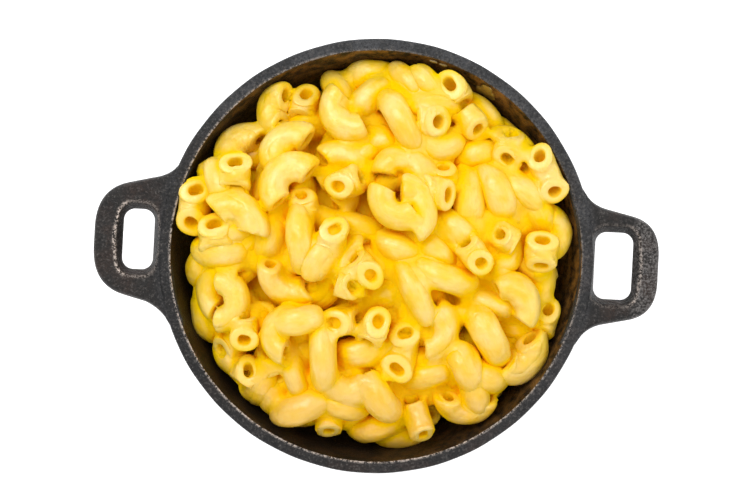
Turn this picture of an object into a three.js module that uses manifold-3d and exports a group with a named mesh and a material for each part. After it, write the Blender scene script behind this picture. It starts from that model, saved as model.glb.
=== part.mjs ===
// Macaroni and cheese, heaped in a small round cast iron dish with two loop handles.
// Units are millimetres and +Z is up. The origin is on the table under the middle of the dish,
// and the handles lie along X. The dish is one casting, and the heap is one fused solid.
import * as THREE from "three";
import { mergeVertices } from "three/addons/utils/BufferGeometryUtils.js";
import Module from "manifold-3d";

const wasm = await Module();
wasm.setup();

// ---- driving dimensions of the dish ----------------------------------------------------------
const RIM_RADIUS = 70; // outer edge of the rim
const RIM_HEIGHT = 42; // from the table to the top of the rim
const RIM_WIDTH = 3.9; // flat top of the rim
const RIM_BAND = 5; // depth of the thicker band under the rim
const BAND_STEP = 0.8; // how far the band stands out from the wall below it
const RIM_EDGE = 0.9; // bevel of the rim's outer edge
const FLOOR = 5; // top of the bottom, above the table
const WALL_LEAN = 9.5; // how far the wall comes in between the rim and the bottom
const CORNER = 8; // radius where the wall turns into the bottom
const FOOT_OUTER = 50; // ring that the dish stands on
const FOOT_INNER = 45;
const FOOT_HEIGHT = 1;
const TURN_STEPS = 48; // facets round the dish
const CORE_TURN_STEPS = 32; // facets round the food's core
const CORE_RINGS = 6; // rings of facets from the core's edge to its top

// ---- driving dimensions of the handles -------------------------------------------------------
const HANDLE_THICKNESS = 8.5;
const HANDLE_DROP = 0.3; // top of the outer bar, below the top of the rim
const HANDLE_SLOPE = 0.04; // how much the handle's top falls towards the dish, in mm per mm
const HANDLE_EDGE = 1.4; // rounding of the handle's edges
const REACH = 91.4; // from the middle of the dish to the end of a handle
const BURIED = 60; // how far in a handle begins, inside the casting
const ROOT = { reach: 64.8, half: 26.4 }; // where the curve of a handle's root leaves the rim
const PULL = 67.6; // reach of the point that the curve of the root bends towards
const NECK = 73.5; // where the curved root turns into the straight arm
// Half widths at the pull and the neck, how fast the two arms close in on the way out, where they
// turn into the bar, and half the straight part of the bar. A shift is towards +Y.
const LEFT_HANDLE = {
  pull: 22,
  neck: 20.25,
  taper: 0.25,
  shoulder: 81,
  bar: 3,
  shift: 1.5,
  window: { from: 72.1, to: 82, half: 9.7, shift: 1.5 },
};
const RIGHT_HANDLE = {
  pull: 20.5,
  neck: 18.95,
  taper: 0.225,
  shoulder: 82.5,
  bar: 4,
  shift: 0.3,
  window: { from: 70.7, to: 82.9, half: 10.8, shift: 0.8 },
};
const WINDOW_CORNER = 3.6;

// ---- driving dimensions of the food ----------------------------------------------------------
const TUBE = 9.2; // outside diameter of a cooked elbow
const BORE = 3.8; // its hole
const BORE_DEPTH = 4; // how deep the holes are cut in the fused heap
const CORE_TOP = 47; // top of the heap's core in the middle
const CORE_EDGE = 25; // top of the core beside the wall
const GAP = 0.35; // air left between the food and the iron
const SINK = 1.5; // height of an elbow's middle line over the core when it lies on it
const TOUCH = 6.8; // how close the middle lines of two soft elbows come when one lies on the other
const STACK_LIMIT = 8; // the most that a pile of elbows rises over the core
const INWARD_LIMIT = 12; // the most that an elbow moves inwards to clear the dish
const INWARD_STEP = 0.4;
const TIPS = [-24, -12, 0, 12, 24]; // degrees that an elbow may tip to find its lowest place
const TIP_COST = 0.03; // millimetres of height that a degree of tipping has to save
// Places where the heap reaches up to the rim: direction, half width and rise over the core's edge.
const BANKS = [
  { direction: 162, spread: 20, rise: 15 },
  { direction: 23, spread: 17, rise: 10 },
  { direction: 5, spread: 12, rise: 9 },
  { direction: 228, spread: 13, rise: 9 },
  { direction: 75, spread: 16, rise: 7 },
];
const SLOPE_SHARE = 0.6; // share of the heap's slope that an elbow takes up
const SIDES = 6; // facets round an elbow
const STEP_SWEEP = 45; // how far an elbow turns from one facet to the next
const BEADS = 7; // points along an elbow that are tried against its neighbours

const DEGREE = Math.PI / 180;
const UP = new THREE.Vector3(0, 0, 1);

// ---- the elbows, from the bottom of the heap to its top --------------------------------------
// [posture, x, y, direction, lean, bend radius, sweep, seat]
// bend: lies flat, x and y at the middle of its back, direction is the way it opens.
// hump: lies with both ends down, x and y at the top of its back, direction is the way it runs.
// ring: stands with one end open to the sky, x and y at that end, direction is the way the tube runs
// from it, and lean is how far the end tips the other way.
// seat is how much higher than the core the hidden pieces below hold it.
const ELBOWS = [
  // deep pieces along the wall
  ["hump", -57, -5.5, 58, 0, 6, 150, 1],
  ["hump", -54.6, -22.5, -75, 0, 6, 150, 1],
  ["bend", 54.2, -6, 180, 0, 6.5, 150, 1],
  ["hump", -50, -1.3, 5, 0, 6.5, 150, 0],
  ["hump", -32.2, -49.5, -70, 0, 5, 130, 0],
  ["ring", -12.3, -57.5, 95, 60, 16, 32, 3],
  ["hump", 11, -57, 12, 0, 6, 150, 0],
  ["ring", -30, -41.3, 100, 50, 6, 95, 0],
  ["hump", -8.5, -48.5, -5, 0, 6, 150, 0],
  ["hump", 0.5, 37, -35, 0, 5, 130, 0],
  ["hump", 32, 35.3, 0, 0, 6, 150, 0],
  // the outer ring of the heap
  ["bend", -46.9, 34.6, -45, 0, 6, 170, 1],
  ["hump", -15.5, 56, -60, 0, 6.5, 150, 1],
  ["hump", 32.6, 46.2, -45, 0, 7.5, 145, 1],
  ["bend", 42.4, 38.2, -120, 0, 6, 150, 1],
  ["hump", -50, 20.5, -70, 0, 6, 150, 2],
  ["ring", -25.3, 51.3, 262, 35, 6, 95, 2],
  ["bend", -36.3, 45.5, -5, 0, 5, 180, 2],
  ["hump", -5, 59.3, 0, 0, 6.5, 150, 2],
  ["hump", 7.2, 57, -50, 0, 6.5, 145, 2],
  ["hump", 14, 56.5, -50, 0, 5, 130, 0],
  ["bend", 59, 10.2, 180, 0, 5.5, 170, 1],
  ["ring", 56.6, -14.3, -105, 25, 6, 95, 2],
  ["bend", 51, -32.4, 135, 0, 5.7, 185, 2],
  ["hump", 36.5, -36.8, -20, 0, 6, 150, 0],
  ["hump", 34, -43.5, -75, 0, 6, 150, 0],
  ["bend", 31, -48.9, 88, 0, 6.2, 175, 0],
  ["hump", 2.5, -55.7, 25, 0, 7, 150, 2],
  ["ring", 18.3, -56.8, 112, 60, 22, 30, 4],
  ["ring", -48.4, -33.2, 40, 50, 6, 95, 2],
  ["ring", 52.7, 8, -90, 32, 6, 95, 2],
  ["ring", 20.6, 56.2, -50, 12, 6, 95, 3],
  ["ring", 56, 23.4, 116, 18, 6.6, 145, 1],
  ["ring", -59.3, 18.4, -95, 15, 5.6, 150, 1],
  // the slopes
  ["hump", 6.5, 3.2, -15, 0, 5, 130, 0],
  ["bend", -6, -43.8, 95, 0, 7, 150, 1],
  ["hump", -23, -41, -70, 0, 6, 150, 0],
  ["hump", -34, 4.5, 75, 0, 5.5, 130, 1],
  ["bend", -43.2, 12.8, -118, 0, 7, 150, 2],
  ["ring", -52, 7.7, -82, 27, 6, 95, 2],
  ["ring", -46, 27.6, -90, 28, 6, 95, 2],
  ["ring", -24.8, 18.4, -75, 52, 8, 60, 2],
  ["bend", -31.6, 35, -45, 0, 6, 160, 1],
  ["hump", -4.4, 51.6, 50, 0, 6, 150, 2],
  ["hump", 15, 48.6, 10, 0, 6.5, 150, 1],
  ["ring", 30.6, 42, 130, 55, 14, 36, 2],
  ["bend", 18.6, 36.6, 100, 0, 5, 170, 2],
  ["ring", 17.8, 43.6, 172, 28, 6, 95, 2],
  ["ring", 40.4, 33, 85, 25, 6, 95, 2],
  ["hump", 45, 24.5, -35, 0, 6.5, 150, 1],
  ["bend", 42.6, 3.6, 175, 0, 5, 185, 1],
  ["ring", 38.8, 9, -25, 46, 9, 45, 2],
  ["hump", 39.5, -13.5, -10, 0, 6.5, 150, 0],
  ["bend", 47.4, -9.8, 222, 0, 7.5, 150, 2],
  ["hump", 31.4, -34.6, -64, 0, 5.5, 145, 1],
  ["hump", 19, -37, 15, 0, 8, 150, 1],
  ["bend", 23, -23.3, 170, 0, 7, 150, 1],
  ["hump", 4, -46.5, -55, 0, 6.5, 150, 2],
  ["hump", -21, -49.8, 28, 0, 7.5, 150, 2],
  ["bend", -52.3, -11, -28, 0, 6.5, 190, 2],
  ["bend", -43.6, -16.8, 180, 0, 6.3, 185, 2],
  ["ring", -40.5, -28.9, 95, 8, 6, 95, 2],
  ["ring", -39.3, -39.2, -120, 2, 4.6, 92, 2],
  // the top
  ["ring", 20, 29.6, -90, 58, 8, 60, 3],
  ["bend", -9.5, 31, 240, 0, 7, 150, 0],
  ["bend", 6.8, 31.2, -90, 0, 6.3, 165, 1],
  ["bend", -31.7, 24.6, -42, 0, 7.2, 170, 2],
  ["bend", -14.9, 43.2, 38, 0, 7, 162, 2],
  ["hump", 5.2, 44.5, -60, 0, 8, 150, 2],
  ["hump", 28.5, 20, -84, 0, 8, 150, 0],
  ["hump", 38.5, 21.3, -62, 0, 7.5, 150, 1],
  ["ring", 22, 20.5, 176, 45, 6, 95, 2],
  ["hump", 18, 2.5, -40, 0, 5.5, 130, 0],
  ["hump", 25.5, 8.6, -38, 0, 7, 150, 0],
  ["ring", 33.3, -0.6, 130, 22, 6, 95, 2],
  ["hump", 24.5, -6.3, -14, 0, 8.5, 150, 1],
  ["hump", -24, 4, -79, 0, 6.8, 150, 2],
  ["hump", -17.5, -1.5, 60, 0, 5, 130, 1],
  ["bend", -29.4, -11.4, 60, 0, 7.5, 150, 1],
  ["bend", -31.2, -26, -8, 0, 5.2, 180, 1],
  ["hump", -24, -22, 13, 0, 5.2, 150, 1],
  ["hump", -15, -34, -85, 0, 8, 150, 1],
  ["ring", -12.4, -21.8, 10, 18, 6, 95, 2],
  ["hump", -3.2, -31, 8, 0, 5, 130, 1],
  ["ring", 1.8, -20.4, -115, 12, 6, 95, 1],
  ["ring", 10.5, -24, -100, 5, 5.9, 170, 0.5],
  ["hump", 37.8, -24.4, -58, 0, 8, 150, 2],
  ["ring", -13.2, 21.3, 25, 18, 6, 95, 1],
  ["ring", -13.4, 7.8, -110, 14, 6, 95, 1],
  ["bend", -9.8, -3.6, 5, 0, 6, 185, 1],
  ["ring", -6.8, -10.2, 165, 42, 7, 50, 2],
  ["ring", -1.2, -6.2, 140, 15, 6, 95, 2],
  ["hump", 12.2, -9.5, -62, 0, 8.5, 150, 1],
  ["bend", 13.3, 16.4, 197, 0, 6.5, 150, 0],
  ["bend", 3.4, 14, 55, 0, 6.5, 155, 2],
];

// ---- solids and meshes -----------------------------------------------------------------------

// A closed geometry as a solid, without the faces that fold to nothing at a pole.
function solidOf(geometry) {
  const bare = new THREE.BufferGeometry();
  bare.setAttribute("position", geometry.getAttribute("position"));
  bare.setIndex(geometry.getIndex());
  const merged = mergeVertices(bare, 1e-4);
  const index = merged.getIndex().array;
  const faces = [];
  for (let i = 0; i < index.length; i += 3) {
    const [a, b, c] = index.slice(i, i + 3);
    if (a !== b && b !== c && c !== a) faces.push(a, b, c);
  }
  const mesh = new wasm.Mesh({
    numProp: 3,
    vertProperties: new Float32Array(merged.getAttribute("position").array),
    triVerts: new Uint32Array(faces),
  });
  return new wasm.Manifold(mesh);
}

// A solid as a named mesh with its own material.
function meshOf(name, solid, material) {
  const { vertProperties, triVerts } = solid.getMesh();
  const geometry = new THREE.BufferGeometry();
  geometry.setAttribute("position", new THREE.BufferAttribute(vertProperties, 3));
  geometry.setIndex(new THREE.BufferAttribute(triVerts, 1));
  geometry.computeVertexNormals();
  const mesh = new THREE.Mesh(geometry, material);
  mesh.name = name;
  return mesh;
}

// A profile of [radius, height] pairs, from axis to axis, turned about Z.
function turned(profile, steps) {
  const points = profile.map(([radius, height]) => new THREE.Vector2(radius, height));
  return new THREE.LatheGeometry(points, steps).rotateX(Math.PI / 2);
}

// Points on an arc of a profile, with angles in degrees from the +radius direction.
function arc(centreRadius, centreHeight, radius, from, to, steps) {
  return Array.from({ length: steps + 1 }, (_, i) => {
    const angle = (from + ((to - from) * i) / steps) * DEGREE;
    return [centreRadius + radius * Math.cos(angle), centreHeight + radius * Math.sin(angle)];
  });
}

// ---- the dish --------------------------------------------------------------------------------

const RIM_INNER = RIM_RADIUS - RIM_WIDTH;
const WALL_OUTER = RIM_RADIUS - BAND_STEP;

// Inside radius of the dish at a height above its rounded corner.
function wallRadius(height) {
  return RIM_INNER - (WALL_LEAN * (RIM_HEIGHT - height)) / (RIM_HEIGHT - FLOOR);
}

// The hollow of the dish, grown inwards by a margin and cut off at a height.
function hollow(margin, top) {
  const corner = CORNER - margin;
  const bottom = FLOOR + margin;
  const radius = wallRadius(bottom + corner) - margin;
  return [
    [0, bottom],
    ...arc(radius - corner, bottom + corner, corner, -90, 0, 4),
    [wallRadius(top) - margin, top],
  ];
}

function dishBody() {
  const lean = WALL_LEAN / (RIM_HEIGHT - FLOOR);
  const bandFoot = RIM_HEIGHT - RIM_BAND;
  const turnTop = FOOT_HEIGHT + CORNER;
  const lowest = WALL_OUTER - lean * (bandFoot - turnTop);
  const profile = [
    [0, FOOT_HEIGHT],
    [FOOT_INNER, FOOT_HEIGHT],
    [FOOT_INNER + FOOT_HEIGHT, 0],
    [FOOT_OUTER, 0],
    [FOOT_OUTER + FOOT_HEIGHT, FOOT_HEIGHT],
    ...arc(lowest - CORNER, turnTop, CORNER, -90, 0, 4),
    [WALL_OUTER, bandFoot],
    [RIM_RADIUS, bandFoot + 2 * BAND_STEP],
    [RIM_RADIUS, RIM_HEIGHT - RIM_EDGE],
    [RIM_RADIUS - RIM_EDGE, RIM_HEIGHT],
    [0, RIM_HEIGHT],
  ];
  return solidOf(turned(profile, TURN_STEPS));
}

// The outline of a handle seen from above, for a handle that points along +X.
function handleOutline(size, side) {
  const shift = side * size.shift;
  const edgeAt = (reach) => size.neck - size.taper * (reach - NECK);
  const shape = new THREE.Shape();
  shape.moveTo(BURIED, -ROOT.half);
  shape.lineTo(ROOT.reach, -ROOT.half);
  shape.quadraticCurveTo(PULL, shift / 2 - size.pull, NECK, shift - edgeAt(NECK));
  shape.lineTo(size.shoulder, shift - edgeAt(size.shoulder));
  shape.quadraticCurveTo(REACH, shift - edgeAt(REACH), REACH, shift - size.bar);
  shape.lineTo(REACH, shift + size.bar);
  shape.quadraticCurveTo(REACH, shift + edgeAt(REACH), size.shoulder, shift + edgeAt(size.shoulder));
  shape.lineTo(NECK, shift + edgeAt(NECK));
  shape.quadraticCurveTo(PULL, shift / 2 + size.pull, ROOT.reach, ROOT.half);
  shape.lineTo(BURIED, ROOT.half);
  shape.closePath();
  shape.holes.push(windowOutline(size.window, side));
  return shape;
}

// The window of a handle: a rectangle with round corners.
function windowOutline({ from, to, half, shift }, side) {
  const turn = WINDOW_CORNER;
  const low = side * shift - half + turn;
  const high = side * shift + half - turn;
  const path = new THREE.Path();
  path.moveTo(from + turn, low - turn);
  path.absarc(to - turn, low, turn, -Math.PI / 2, 0);
  path.absarc(to - turn, high, turn, 0, Math.PI / 2);
  path.absarc(from + turn, high, turn, Math.PI / 2, Math.PI);
  path.absarc(from + turn, low, turn, Math.PI, 1.5 * Math.PI);
  path.closePath();
  return path;
}

// One handle, as a plate with rounded edges whose top and bottom rise towards the bar.
function handle(size, side) {
  const geometry = new THREE.ExtrudeGeometry(handleOutline(size, side), {
    depth: HANDLE_THICKNESS - 2 * HANDLE_EDGE,
    bevelThickness: HANDLE_EDGE,
    bevelSize: HANDLE_EDGE,
    bevelOffset: -HANDLE_EDGE,
    bevelSegments: 2,
    curveSegments: 3,
  });
  const barTop = RIM_HEIGHT - HANDLE_DROP;
  geometry.translate(0, 0, barTop - HANDLE_THICKNESS + HANDLE_EDGE);
  const position = geometry.getAttribute("position");
  for (let i = 0; i < position.count; i += 1) {
    const fall = HANDLE_SLOPE * (REACH - position.getX(i));
    position.setZ(i, position.getZ(i) - fall);
  }
  if (side < 0) geometry.rotateZ(Math.PI);
  return solidOf(geometry);
}

function dish() {
  const above = RIM_HEIGHT + 1;
  const opening = solidOf(turned([...hollow(0, above), [0, above]], TURN_STEPS));
  return dishBody().add(handle(RIGHT_HANDLE, 1)).add(handle(LEFT_HANDLE, -1)).subtract(opening);
}

// ---- the heap --------------------------------------------------------------------------------

const CORE_RADIUS = wallRadius(CORE_EDGE) - GAP;

// How much the heap's banks lift the core over x and y: bell curves round the rim that fade inwards.
function bankRise(x, y) {
  const share = Math.min(Math.hypot(x, y) / CORE_RADIUS, 1);
  const around = Math.atan2(y, x) / DEGREE;
  const rises = BANKS.map(({ direction, spread, rise }) => {
    const off = ((around - direction + 540) % 360) - 180;
    return rise * Math.exp(-((off / spread) ** 2));
  });
  return share ** 3 * Math.max(...rises);
}

// Height of the core's dome over x and y.
function coreHeight(x, y) {
  const share = Math.min(Math.hypot(x, y) / CORE_RADIUS, 1);
  return CORE_EDGE + (CORE_TOP - CORE_EDGE) * (1 - share * share) + bankRise(x, y);
}

// The core: the hollow of the dish, filled up to the dome.
function core() {
  const dome = Array.from({ length: CORE_RINGS }, (_, i) => {
    return [CORE_RADIUS * (1 - (i + 1) / CORE_RINGS), CORE_EDGE];
  });
  const profile = [...hollow(GAP, CORE_EDGE - 1), [CORE_RADIUS, CORE_EDGE], ...dome];
  const geometry = turned(profile, CORE_TURN_STEPS);
  const position = geometry.getAttribute("position");
  for (let i = 0; i < position.count; i += 1) {
    if (position.getZ(i) < CORE_EDGE - 0.5) continue;
    position.setZ(i, coreHeight(position.getX(i), position.getY(i)));
  }
  return solidOf(geometry);
}

// The middle line of an elbow before it is placed: an arc in the XY plane that opens to +Y, with the
// middle of its back at the origin.
class Bend extends THREE.Curve {
  constructor(radius, sweep) {
    super();
    this.radius = radius;
    this.sweep = sweep * DEGREE;
  }

  getPoint(t, target = new THREE.Vector3()) {
    const angle = (t - 0.5) * this.sweep;
    return target.set(this.radius * Math.sin(angle), this.radius * (1 - Math.cos(angle)), 0);
  }
}

// How an elbow lies: its heading, tip and roll, the place along it that x and y refer to, the stretch
// of it that bears on what is below, and how far it may tip and roll to settle.
function postureOf(kind, direction, lean, sweep) {
  return {
    bend: {
      heading: direction - 90,
      tip: 0,
      roll: 0,
      anchor: 0.5,
      bearing: [0, 1],
      tips: TIPS,
      rolls: TIPS,
    },
    hump: {
      heading: direction,
      tip: 0,
      roll: -90,
      anchor: 0.5,
      bearing: [0.25, 0.75],
      tips: TIPS,
      rolls: [0],
    },
    ring: {
      heading: direction + 180,
      tip: lean - 90 + sweep / 2,
      roll: 90,
      anchor: 1,
      bearing: [0, 1],
      tips: [0],
      rolls: [0],
    },
  }[kind];
}

// The turn that brings a bend into its posture, tipped and rolled a little more.
function turnOf({ heading, tip, roll }, moreTip, moreRoll) {
  const angles = [roll + moreRoll, tip + moreTip, heading].map((angle) => angle * DEGREE);
  return new THREE.Quaternion().setFromEuler(new THREE.Euler(...angles, "ZYX"));
}

// The turn that leans a flat piece with the slope of the heap.
function slopeTurn(x, y) {
  const slopeX = (coreHeight(x - 1, y) - coreHeight(x + 1, y)) / 2;
  const slopeY = (coreHeight(x, y - 1) - coreHeight(x, y + 1)) / 2;
  const normal = new THREE.Vector3(SLOPE_SHARE * slopeX, SLOPE_SHARE * slopeY, 1).normalize();
  return new THREE.Quaternion().setFromUnitVectors(UP, normal);
}

// The beads of an elbow's bearing stretch when its anchor stands over x and y, at height 0.
function layBeads(curve, turn, { anchor, bearing }, x, y) {
  const shift = curve.getPoint(anchor).applyQuaternion(turn).negate();
  shift.add(new THREE.Vector3(x, y, 0));
  const beads = Array.from({ length: BEADS }, (_, i) => {
    const along = bearing[0] + ((bearing[1] - bearing[0]) * i) / (BEADS - 1);
    return curve.getPoint(along).applyQuaternion(turn).add(shift);
  });
  return { beads, shift };
}

// How high a string of beads has to be lifted to lie on the core.
function liftOverCore(beads) {
  return Math.max(...beads.map((bead) => coreHeight(bead.x, bead.y) + SINK - bead.z));
}

// How high it has to be lifted to lie on the beads that are already there.
function liftOverBeads(beads, placed) {
  let lift = -Infinity;
  for (const bead of beads) {
    for (const other of placed) {
      const apart = Math.hypot(bead.x - other.x, bead.y - other.y);
      if (apart >= TOUCH) continue;
      lift = Math.max(lift, other.z + Math.sqrt(TOUCH * TOUCH - apart * apart) - bead.z);
    }
  }
  return lift;
}

// Distance from a bead to the iron: to the wall below the rim, and to the rim's edge above it.
function roomAt(bead) {
  const distance = Math.hypot(bead.x, bead.y);
  if (bead.z <= RIM_HEIGHT) return wallRadius(bead.z) - distance;
  return Math.hypot(Math.max(RIM_INNER - distance, 0), bead.z - RIM_HEIGHT);
}

// The lowest place that an elbow finds over x and y.
function settle(curve, pose, slope, seat, x, y, placed) {
  let best = null;
  for (const moreTip of pose.tips) {
    for (const moreRoll of pose.rolls) {
      const turn = turnOf(pose, moreTip, moreRoll).premultiply(slope);
      const { beads, shift } = layBeads(curve, turn, pose, x, y);
      const ground = liftOverCore(beads) + seat;
      const pile = Math.max(liftOverBeads(beads, placed) - ground, 0);
      const lift = ground + STACK_LIMIT * (1 - Math.exp(-pile / STACK_LIMIT));
      const middle = beads.reduce((sum, bead) => sum + bead.z, 0) / BEADS;
      const cost = middle + lift + TIP_COST * (Math.abs(moreTip) + Math.abs(moreRoll));
      if (!best || cost < best.cost) best = { turn, beads, shift, lift, cost };
    }
  }
  for (const bead of best.beads) bead.z += best.lift;
  best.shift.z += best.lift;
  return best;
}

// Lays one elbow on the heap. A piece that would cross the dish moves inwards until it is clear, and
// one that stays too close all the way is left out.
function place([kind, x, y, direction, lean, radius, sweep, seat], placed) {
  const curve = new Bend(radius, sweep);
  const pose = postureOf(kind, direction, lean, sweep);
  const slope = kind === "ring" ? new THREE.Quaternion() : slopeTurn(x, y);
  for (let inward = 0; inward < INWARD_LIMIT; inward += INWARD_STEP) {
    const share = 1 - inward / Math.max(Math.hypot(x, y), inward + 1);
    const laid = settle(curve, pose, slope, seat, x * share, y * share, placed);
    const line = curve.getPoints(BEADS);
    for (const point of line) point.applyQuaternion(laid.turn).add(laid.shift);
    if (line.every((point) => roomAt(point) > TUBE / 2 + GAP)) return { ...laid, curve, kind };
  }
  return null;
}

// The elbow as a solid bent tube with few sides.
function elbow({ curve, turn, shift }) {
  const round = Array.from({ length: SIDES }, (_, i) => {
    const angle = (2 * Math.PI * i) / SIDES;
    return new THREE.Vector2((TUBE / 2) * Math.cos(angle), (TUBE / 2) * Math.sin(angle));
  });
  const steps = Math.round(curve.sweep / DEGREE / STEP_SWEEP);
  const along = { steps, extrudePath: curve };
  const geometry = new THREE.ExtrudeGeometry(new THREE.Shape(round), along);
  geometry.applyQuaternion(turn);
  geometry.translate(shift.x, shift.y, shift.z);
  return solidOf(geometry);
}

// The hole in the open end of a standing elbow.
function bore({ curve, turn, shift }) {
  const end = curve.getPoint(1).applyQuaternion(turn).add(shift);
  const along = curve.getTangent(1).applyQuaternion(turn);
  const upright = new THREE.Vector3(0, 1, 0);
  const geometry = new THREE.CylinderGeometry(BORE / 2, BORE / 2, 2 * BORE_DEPTH, SIDES);
  geometry.applyQuaternion(new THREE.Quaternion().setFromUnitVectors(upright, along));
  geometry.translate(end.x, end.y, end.z);
  return solidOf(geometry);
}

// The largest piece of a solid, which leaves out loose scraps and fills sealed hollows.
function largest(solid) {
  const pieces = solid.decompose();
  return pieces.reduce((best, piece) => (piece.volume() > best.volume() ? piece : best));
}

function heap() {
  const placed = [];
  const pieces = [];
  for (const row of ELBOWS) {
    const piece = place(row, placed);
    if (!piece) continue;
    placed.push(...piece.beads);
    pieces.push(piece);
  }
  const fused = pieces.reduce((solid, piece) => solid.add(elbow(piece)), core());
  const rings = pieces.filter((piece) => piece.kind === "ring");
  return largest(rings.reduce((solid, piece) => solid.subtract(bore(piece)), fused));
}

// ---- the part --------------------------------------------------------------------------------

const castIron = new THREE.MeshStandardMaterial({ color: "#3c3c40", roughness: 0.62, metalness: 0.7 });
const cheese = new THREE.MeshStandardMaterial({ color: "#f7c52c", roughness: 0.38, metalness: 0 });

const part = new THREE.Group();
part.name = "mac_and_cheese";
part.add(meshOf("dish", dish(), castIron));
part.add(meshOf("macaroni", heap(), cheese));

export default part;
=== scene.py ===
"""Macaroni and cheese, heaped in a small cast iron dish with two loop handles.

Shapes are worked out in millimetres as numpy arrays and written into meshes in metres. +Z is up,
the origin is on the table under the middle of the dish, and the handles lie along X.
"""

import bpy
import numpy as np
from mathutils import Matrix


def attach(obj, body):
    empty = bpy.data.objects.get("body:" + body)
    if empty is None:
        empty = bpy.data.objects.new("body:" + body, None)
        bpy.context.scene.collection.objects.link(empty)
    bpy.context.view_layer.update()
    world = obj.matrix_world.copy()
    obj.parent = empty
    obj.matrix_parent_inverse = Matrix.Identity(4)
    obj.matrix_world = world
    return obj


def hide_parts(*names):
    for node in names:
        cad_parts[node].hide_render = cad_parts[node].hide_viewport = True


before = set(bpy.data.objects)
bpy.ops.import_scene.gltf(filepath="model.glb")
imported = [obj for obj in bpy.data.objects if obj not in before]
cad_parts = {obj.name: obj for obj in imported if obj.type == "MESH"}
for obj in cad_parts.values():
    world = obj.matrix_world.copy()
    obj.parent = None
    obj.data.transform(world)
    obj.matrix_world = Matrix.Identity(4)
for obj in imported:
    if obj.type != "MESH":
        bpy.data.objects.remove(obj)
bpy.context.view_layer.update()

# ---- the dish, in millimetres ----
RIM_RADIUS = 70.0
RIM_HEIGHT = 42.0
RIM_WIDTH = 3.9
RIM_BAND = 5.0  # height of the thick band under the rim
BAND_STEP = 0.8  # how far the band stands out from the wall, and the rounding under it
BAND_ROUND = (0.2, 1.0)  # centre of that rounding, from the foot of the band
RIM_EDGE = 0.9  # rounding of the rim's outer edge
LIP_EDGE = 0.45  # rounding of the rim's inner edge
WEAR_REACH = 0.5  # how far the wear of the lip reaches over the rim
FLOOR = 5.0
WALL_LEAN = 9.5  # how far the wall leans in from the rim to the floor
CORNER = 8.0  # rounding between the wall and the bottom
FOOT_OUTER = 50.0
FOOT_INNER = 45.0
FOOT_HEIGHT = 1.0
RIM_INNER = RIM_RADIUS - RIM_WIDTH
WALL_OUTER = RIM_RADIUS - BAND_STEP
DISH_COLUMNS = 288  # points round the dish, and round each handle
WALL_STEP = 2.5  # longest run between two points of the dish's outline
CASTING = 0.1  # how uneven sand casting leaves the radius
CASTING_FADE = 20.0  # the unevenness fades to nothing inside this radius
# waves round the dish, and how many radians they turn with each millimetre of height
CASTING_WAVES = ((5, 0.21), (13, -0.37), (29, 0.83))

# ---- the handles ----
HANDLE_THICKNESS = 8.5
HANDLE_DROP = 0.3  # how far the handles lie under the rim
HANDLE_SLOPE = 0.04  # how steeply the handles rise outwards
ROOT_SINK = 0.12  # how far under the rim's top the root of a handle ends
ROOT_RUN = 5.0  # the stretch over which the root rises to that
REACH = 91.4  # far side of the outer bar
ROOT = (64.8, 26.4)  # where an edge of a handle runs into the wall
ROOT_TAIL = 6.0  # how far the edge goes on inside the wall
PULL = 67.6  # middle point of the root's curve
NECK = 73.5  # end of the root's curve, where the straight arm begins
# Half widths of the root's curve and of the arm at the neck, how much the arm narrows with each
# millimetre, where it bends into the bar and the bar's flat half width, how far the handle is
# shifted sideways, and the window's near side, far side, half width and shift. Then how strong
# the wear and painted glint of the handle are, and how gritty it is.
LEFT_HANDLE = {
    "pull": 22.0,
    "neck": 20.25,
    "taper": 0.25,
    "shoulder": 81.0,
    "bar": 3.0,
    "shift": 1.5,
    "window": (72.1, 82.0, 9.7, 1.5),
    "wear_and_glint": 0.9,
    "grit": 0.0,
}
RIGHT_HANDLE = {
    "pull": 20.5,
    "neck": 18.95,
    "taper": 0.225,
    "shoulder": 82.5,
    "bar": 4.0,
    "shift": 0.3,
    "window": (70.7, 82.9, 10.8, 0.8),
    "wear_and_glint": 0.4,
    "grit": 1.0,
}
WINDOW_CORNER = 3.6
LOOP_STEP = 0.6  # longest run between two points of a handle's outline
CURVE_STEPS = 14
# where the rounding starts on each edge of a handle's section, round from the window
HANDLE_CORNERS = (1.6, 1.3, 1.8, 2.4, 1.8, 1.3)
EDGE_STEPS = 7
WINDOW_BULGE = 0.4  # how far the window's wall swells halfway down
WINDOW_DRAFT = 2.2  # how much wider the window is at the faces than halfway down
OUTER_DRAFT = 0.7
DRAFT_SHARES = (0.4, 0.1)  # most of a section's width that the two drafts take up
BURIED = 65.2  # radius inside the wall where a handle ends

# ---- how the iron's looks change round the dish ----
# a bearing in degrees, the level at a right angle to it, what the cosine of the angle from it
# adds, and the least and the most
# wear with a painted glint on the lip, strongest towards this bearing
WORN_AND_GLINTING = (230, 0.75, 0.65, 0.12, 1)
# painted light and painted reflection on the inside wall, strongest towards this bearing
PAINTED_WALL_LIGHT = (40, 0.45, 0.6, 0.05, 1)
# painted shade on the outside of the dish, darkest towards this bearing
PAINTED_SHADE_SIDE = (200, 0, 0.6, 0, 0.6)
HOLLOW_SLACK = 0.3  # room for the casting's unevenness, where the hollow ends at the wall
HOLLOW_TOP = 0.15  # how far under the rim's top the brown of the hollow ends
LIP_MIDDLE = 0.2  # how far in from both faces of the lip its wear and painted glint are centred
LIP_WEAR_AND_GLINT = 1.2  # its strength there, held to 1
LIP_WIDTH = 0.3  # the distance that takes 1 off it
RIM_BLOOM = 0.56  # the grey bloom of the rim, halfway from front to back
BACK_LIGHT_RUN = 160.0  # the distance to the back that adds 1 to it, painted light that makes the rim lighter towards the back
BLOOM_FADE = 2.0  # over which it comes in above the foot of the band
ROOT_BLOOM = (2.0, 3.0)  # how far out from the rim it ends on a handle, and how long it fades
WEAR_AND_GLINT_RUN = 3.0  # over which the wear and painted glint of a handle fall off before the bar
ARM_WEAR_AND_GLINT = 0.3  # share of it that the arms have
GRIT_RUN = 2.0  # over which the bar's grit comes in

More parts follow.
